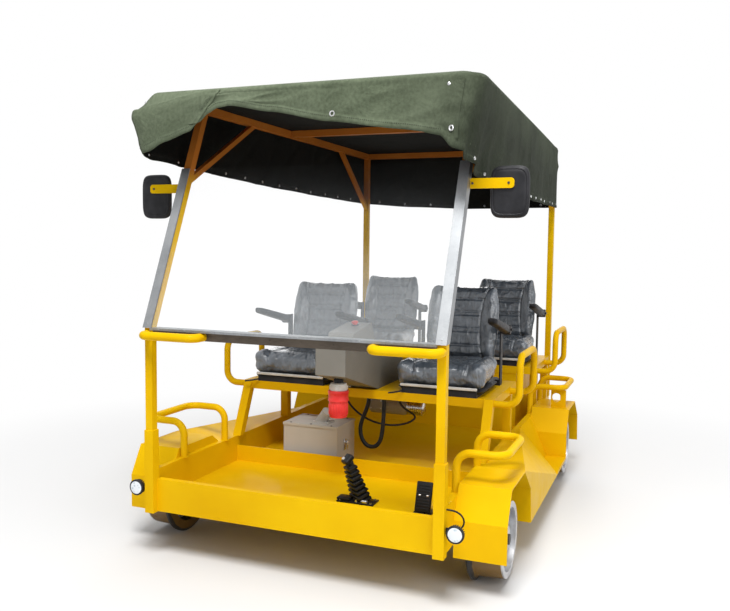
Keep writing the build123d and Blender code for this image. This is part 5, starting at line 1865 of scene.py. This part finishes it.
@dataclass
class Pedals:
    """Foot brake with a ribbed boot and an organ-type accelerator."""

    boot_ribs: int = 8
    brake_x: float = 0.205
    brake_distance: float = 0.385
    treadle_ribs: int = 9
    treadle_x: float = 0.567
    treadle_distance: float = 0.340

    def brake(self) -> None:
        """Build the brake: base plate, bellows, lever and pad."""
        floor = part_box("brake_pedal")[0].z
        x, y = self.brake_x, behind(self.brake_distance)
        plate = Shape()
        plate.block((x + 0.005, y - 0.0025, floor + 0.004), (0.196, 0.092, 0.008), 0.002)
        foot = Vector((x + 0.024, y + 0.004, floor + 0.006))
        head = Vector((x - 0.020, y - 0.052, floor + 0.196))
        run = head - foot
        turn = turned_to(run)
        for k in range(self.boot_ribs):
            share = (k + 0.5) / self.boot_ribs
            wide = blend(0.104, 0.064, share)
            deep = blend(0.074, 0.048, share)
            plate.block(foot + run * share, (wide, deep, run.length / self.boot_ribs * 0.62), 0.004, turn)
        plate.block(foot + run * 0.5, (0.046, 0.032, run.length), 0.004, turn)
        plate.block(foot + run * 0.42 + Vector((0.045, 0.0, -0.004)), (0.060, 0.006, 0.008), 0.002, turn)
        plate.block((x - 0.060, y - 0.012, floor + 0.016), (0.070, 0.060, 0.012), 0.004)
        tip = Vector((x - 0.030, y - 0.054, floor + 0.224))
        lean = turned_to((0.022, 0.040, 0.038))
        plate.block(tip, (0.046, 0.028, 0.056), 0.008, lean, 4)
        plate.block(tip + Vector((0.012, 0.018, -0.030)), (0.030, 0.022, 0.050), 0.004, turn)
        plate.finish("brake_lever", Finish.PEDAL, replaces=("brake_pedal",), slot="pedal_black")
        bright = Shape()
        bright.block(tip + Vector((-0.017, -0.010, 0.004)), (0.014, 0.016, 0.016), 0.004, lean)
        bright.lathe(((0.0, 0.007), (0.012, 0.007)), (x + 0.010, y - 0.036, floor + 0.008), UP, 20)
        bright.lathe(((0.0, 0.009), (0.030, 0.009)), (x + 0.040, y - 0.040, floor + 0.016), RIGHT, 20)
        bright.finish("brake_bright_parts", Finish.BRIGHT)
        bolts = four((x - 0.077, y - 0.0365, floor + 0.009), (0.164, 0, 0), (0, 0.068, 0), UP)
        Studs("brake_bolts", Head.SCREW, 0.006, 0.006, Finish.BRIGHT).build(bolts)

    def accelerator(self) -> None:
        """Build the accelerator: base, stay and a ribbed treadle."""
        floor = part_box("accelerator_pedal")[0].z
        x, y = self.treadle_x, behind(self.treadle_distance)
        shape = Shape()
        shape.block((x, y + 0.015, floor + 0.004), (0.090, 0.088, 0.008), 0.002)
        foot = Vector((x, y - 0.012, floor + 0.010))
        head = Vector((x, y + 0.032, floor + 0.148))
        run = head - foot
        turn = turned_to(run)
        shape.block(foot + run * 0.5, (0.080, 0.016, run.length), 0.006, turn, 3)
        facing = turn @ REARWARD
        facing = facing if facing.y < 0 else -facing
        for k in range(self.treadle_ribs):
            spot = foot + run * (0.12 + 0.095 * k) + facing * 0.009
            shape.block(spot, (0.062, 0.005, 0.006), 0.0018, turn)
        shape.block(foot + run * 0.45 - facing * 0.016, (0.034, 0.026, run.length * 0.7), 0.004, turn)
        shape.finish("accelerator_treadle", Finish.PEDAL, replaces=("accelerator_pedal",),
                     slot="pedal_black")
        spot = foot + run * 0.55 + facing * 0.0085
        pins = [(spot + RIGHT * (sign * 0.020), facing) for sign in SIDES.values()]
        Studs("accelerator_pins", Head.RIVET, 0.006, 0.003, Finish.BRIGHT).build(pins)

    def build(self) -> None:
        """Build both pedals."""
        self.brake()
        self.accelerator()


@dataclass
class Welds:
    """Weld beads where tubes and plates meet."""

    gap: float = 0.0075
    socket_top: float = 0.656
    socket_half: float = 0.0205
    post_half: float = 0.025
    hoop_radius: float = 0.0195
    hoop_x: float = 0.7457
    hoop_feet: tuple[float, ...] = (0.272, 0.677, 2.187, 2.592)
    guard_x: float = 0.765
    guard_z: float = 0.740
    guard_feet: tuple[float, ...] = (0.960, 1.390, 2.227, 2.657)
    leg_x: tuple[float, float] = (0.737, 0.763)
    legs: tuple[float, ...] = (1.408, 2.315, 2.765)
    deck_z: float = 0.302
    riser: float = 0.800

    def ring(self, centre: Vector, radius: float, normal: Vector) -> Spots:
        """Beads round a tube's foot."""
        turn = turned_to(normal)
        count = int(math.tau * radius / self.gap)
        return [(centre + turn @ point, normal) for point in circle(radius, count)]

    def square(self, centre: Vector, half: float) -> Spots:
        """Beads round a square tube's top."""
        signs = ((-1, -1), (1, -1), (1, 1), (-1, 1))
        corners = [centre + Vector((across * half, along * half, 0)) for across, along in signs]
        places = []
        for start, end in zip(corners, corners[1:] + corners[:1]):
            places += row_of(start, end, self.gap, UP)[:-1]
        return places

    def build(self) -> None:
        """Build the beads as one piece."""
        wall_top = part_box("side_walls")[1].z
        post_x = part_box("front_posts")[1].x - self.post_half
        places = []
        for sign in SIDES.values():
            places += self.square(Vector((sign * post_x, POSTS_Y, self.socket_top)), self.socket_half)
            for distance in self.hoop_feet:
                foot = Vector((sign * self.hoop_x, behind(distance), wall_top))
                places += self.ring(foot, self.hoop_radius, UP)
            for distance in self.guard_feet:
                foot = Vector((sign * self.guard_x, behind(distance), self.guard_z))
                places += self.ring(foot, self.hoop_radius, RIGHT * sign)
            for distance in self.legs:
                start, end = (Vector((sign * x, behind(distance), wall_top)) for x in self.leg_x)
                places += row_of(start, end, self.gap, UP)
        floor_low, floor_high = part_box("floor_pan")
        start, end = (Vector((x, behind(self.riser), self.deck_z)) for x in (floor_low.x, floor_high.x))
        places += row_of(start, end, self.gap, UP)
        LOG.info("weld beads: %d", len(places))
        Studs("weld_beads", Head.BEAD, 0.0048, 0.0022, Finish.YELLOW).build(places, "yellow_paint")


def main() -> None:
    """Build the scene, sub-assembly by sub-assembly."""
    logging.basicConfig(level=logging.INFO, format="%(name)s: %(message)s")
    parts = (Camera(), Studio(), CadFinishes(), Cables(), Canopy(), Seats(), Armrests(), Mirrors(),
             Headlights(), Windscreen(), Connector(), ControllerBox(), Motor(), Pedals(), Welds())
    for part in parts:
        LOG.info("building %s", type(part).__name__)
        part.build()


if __name__ == "__main__":
    main()
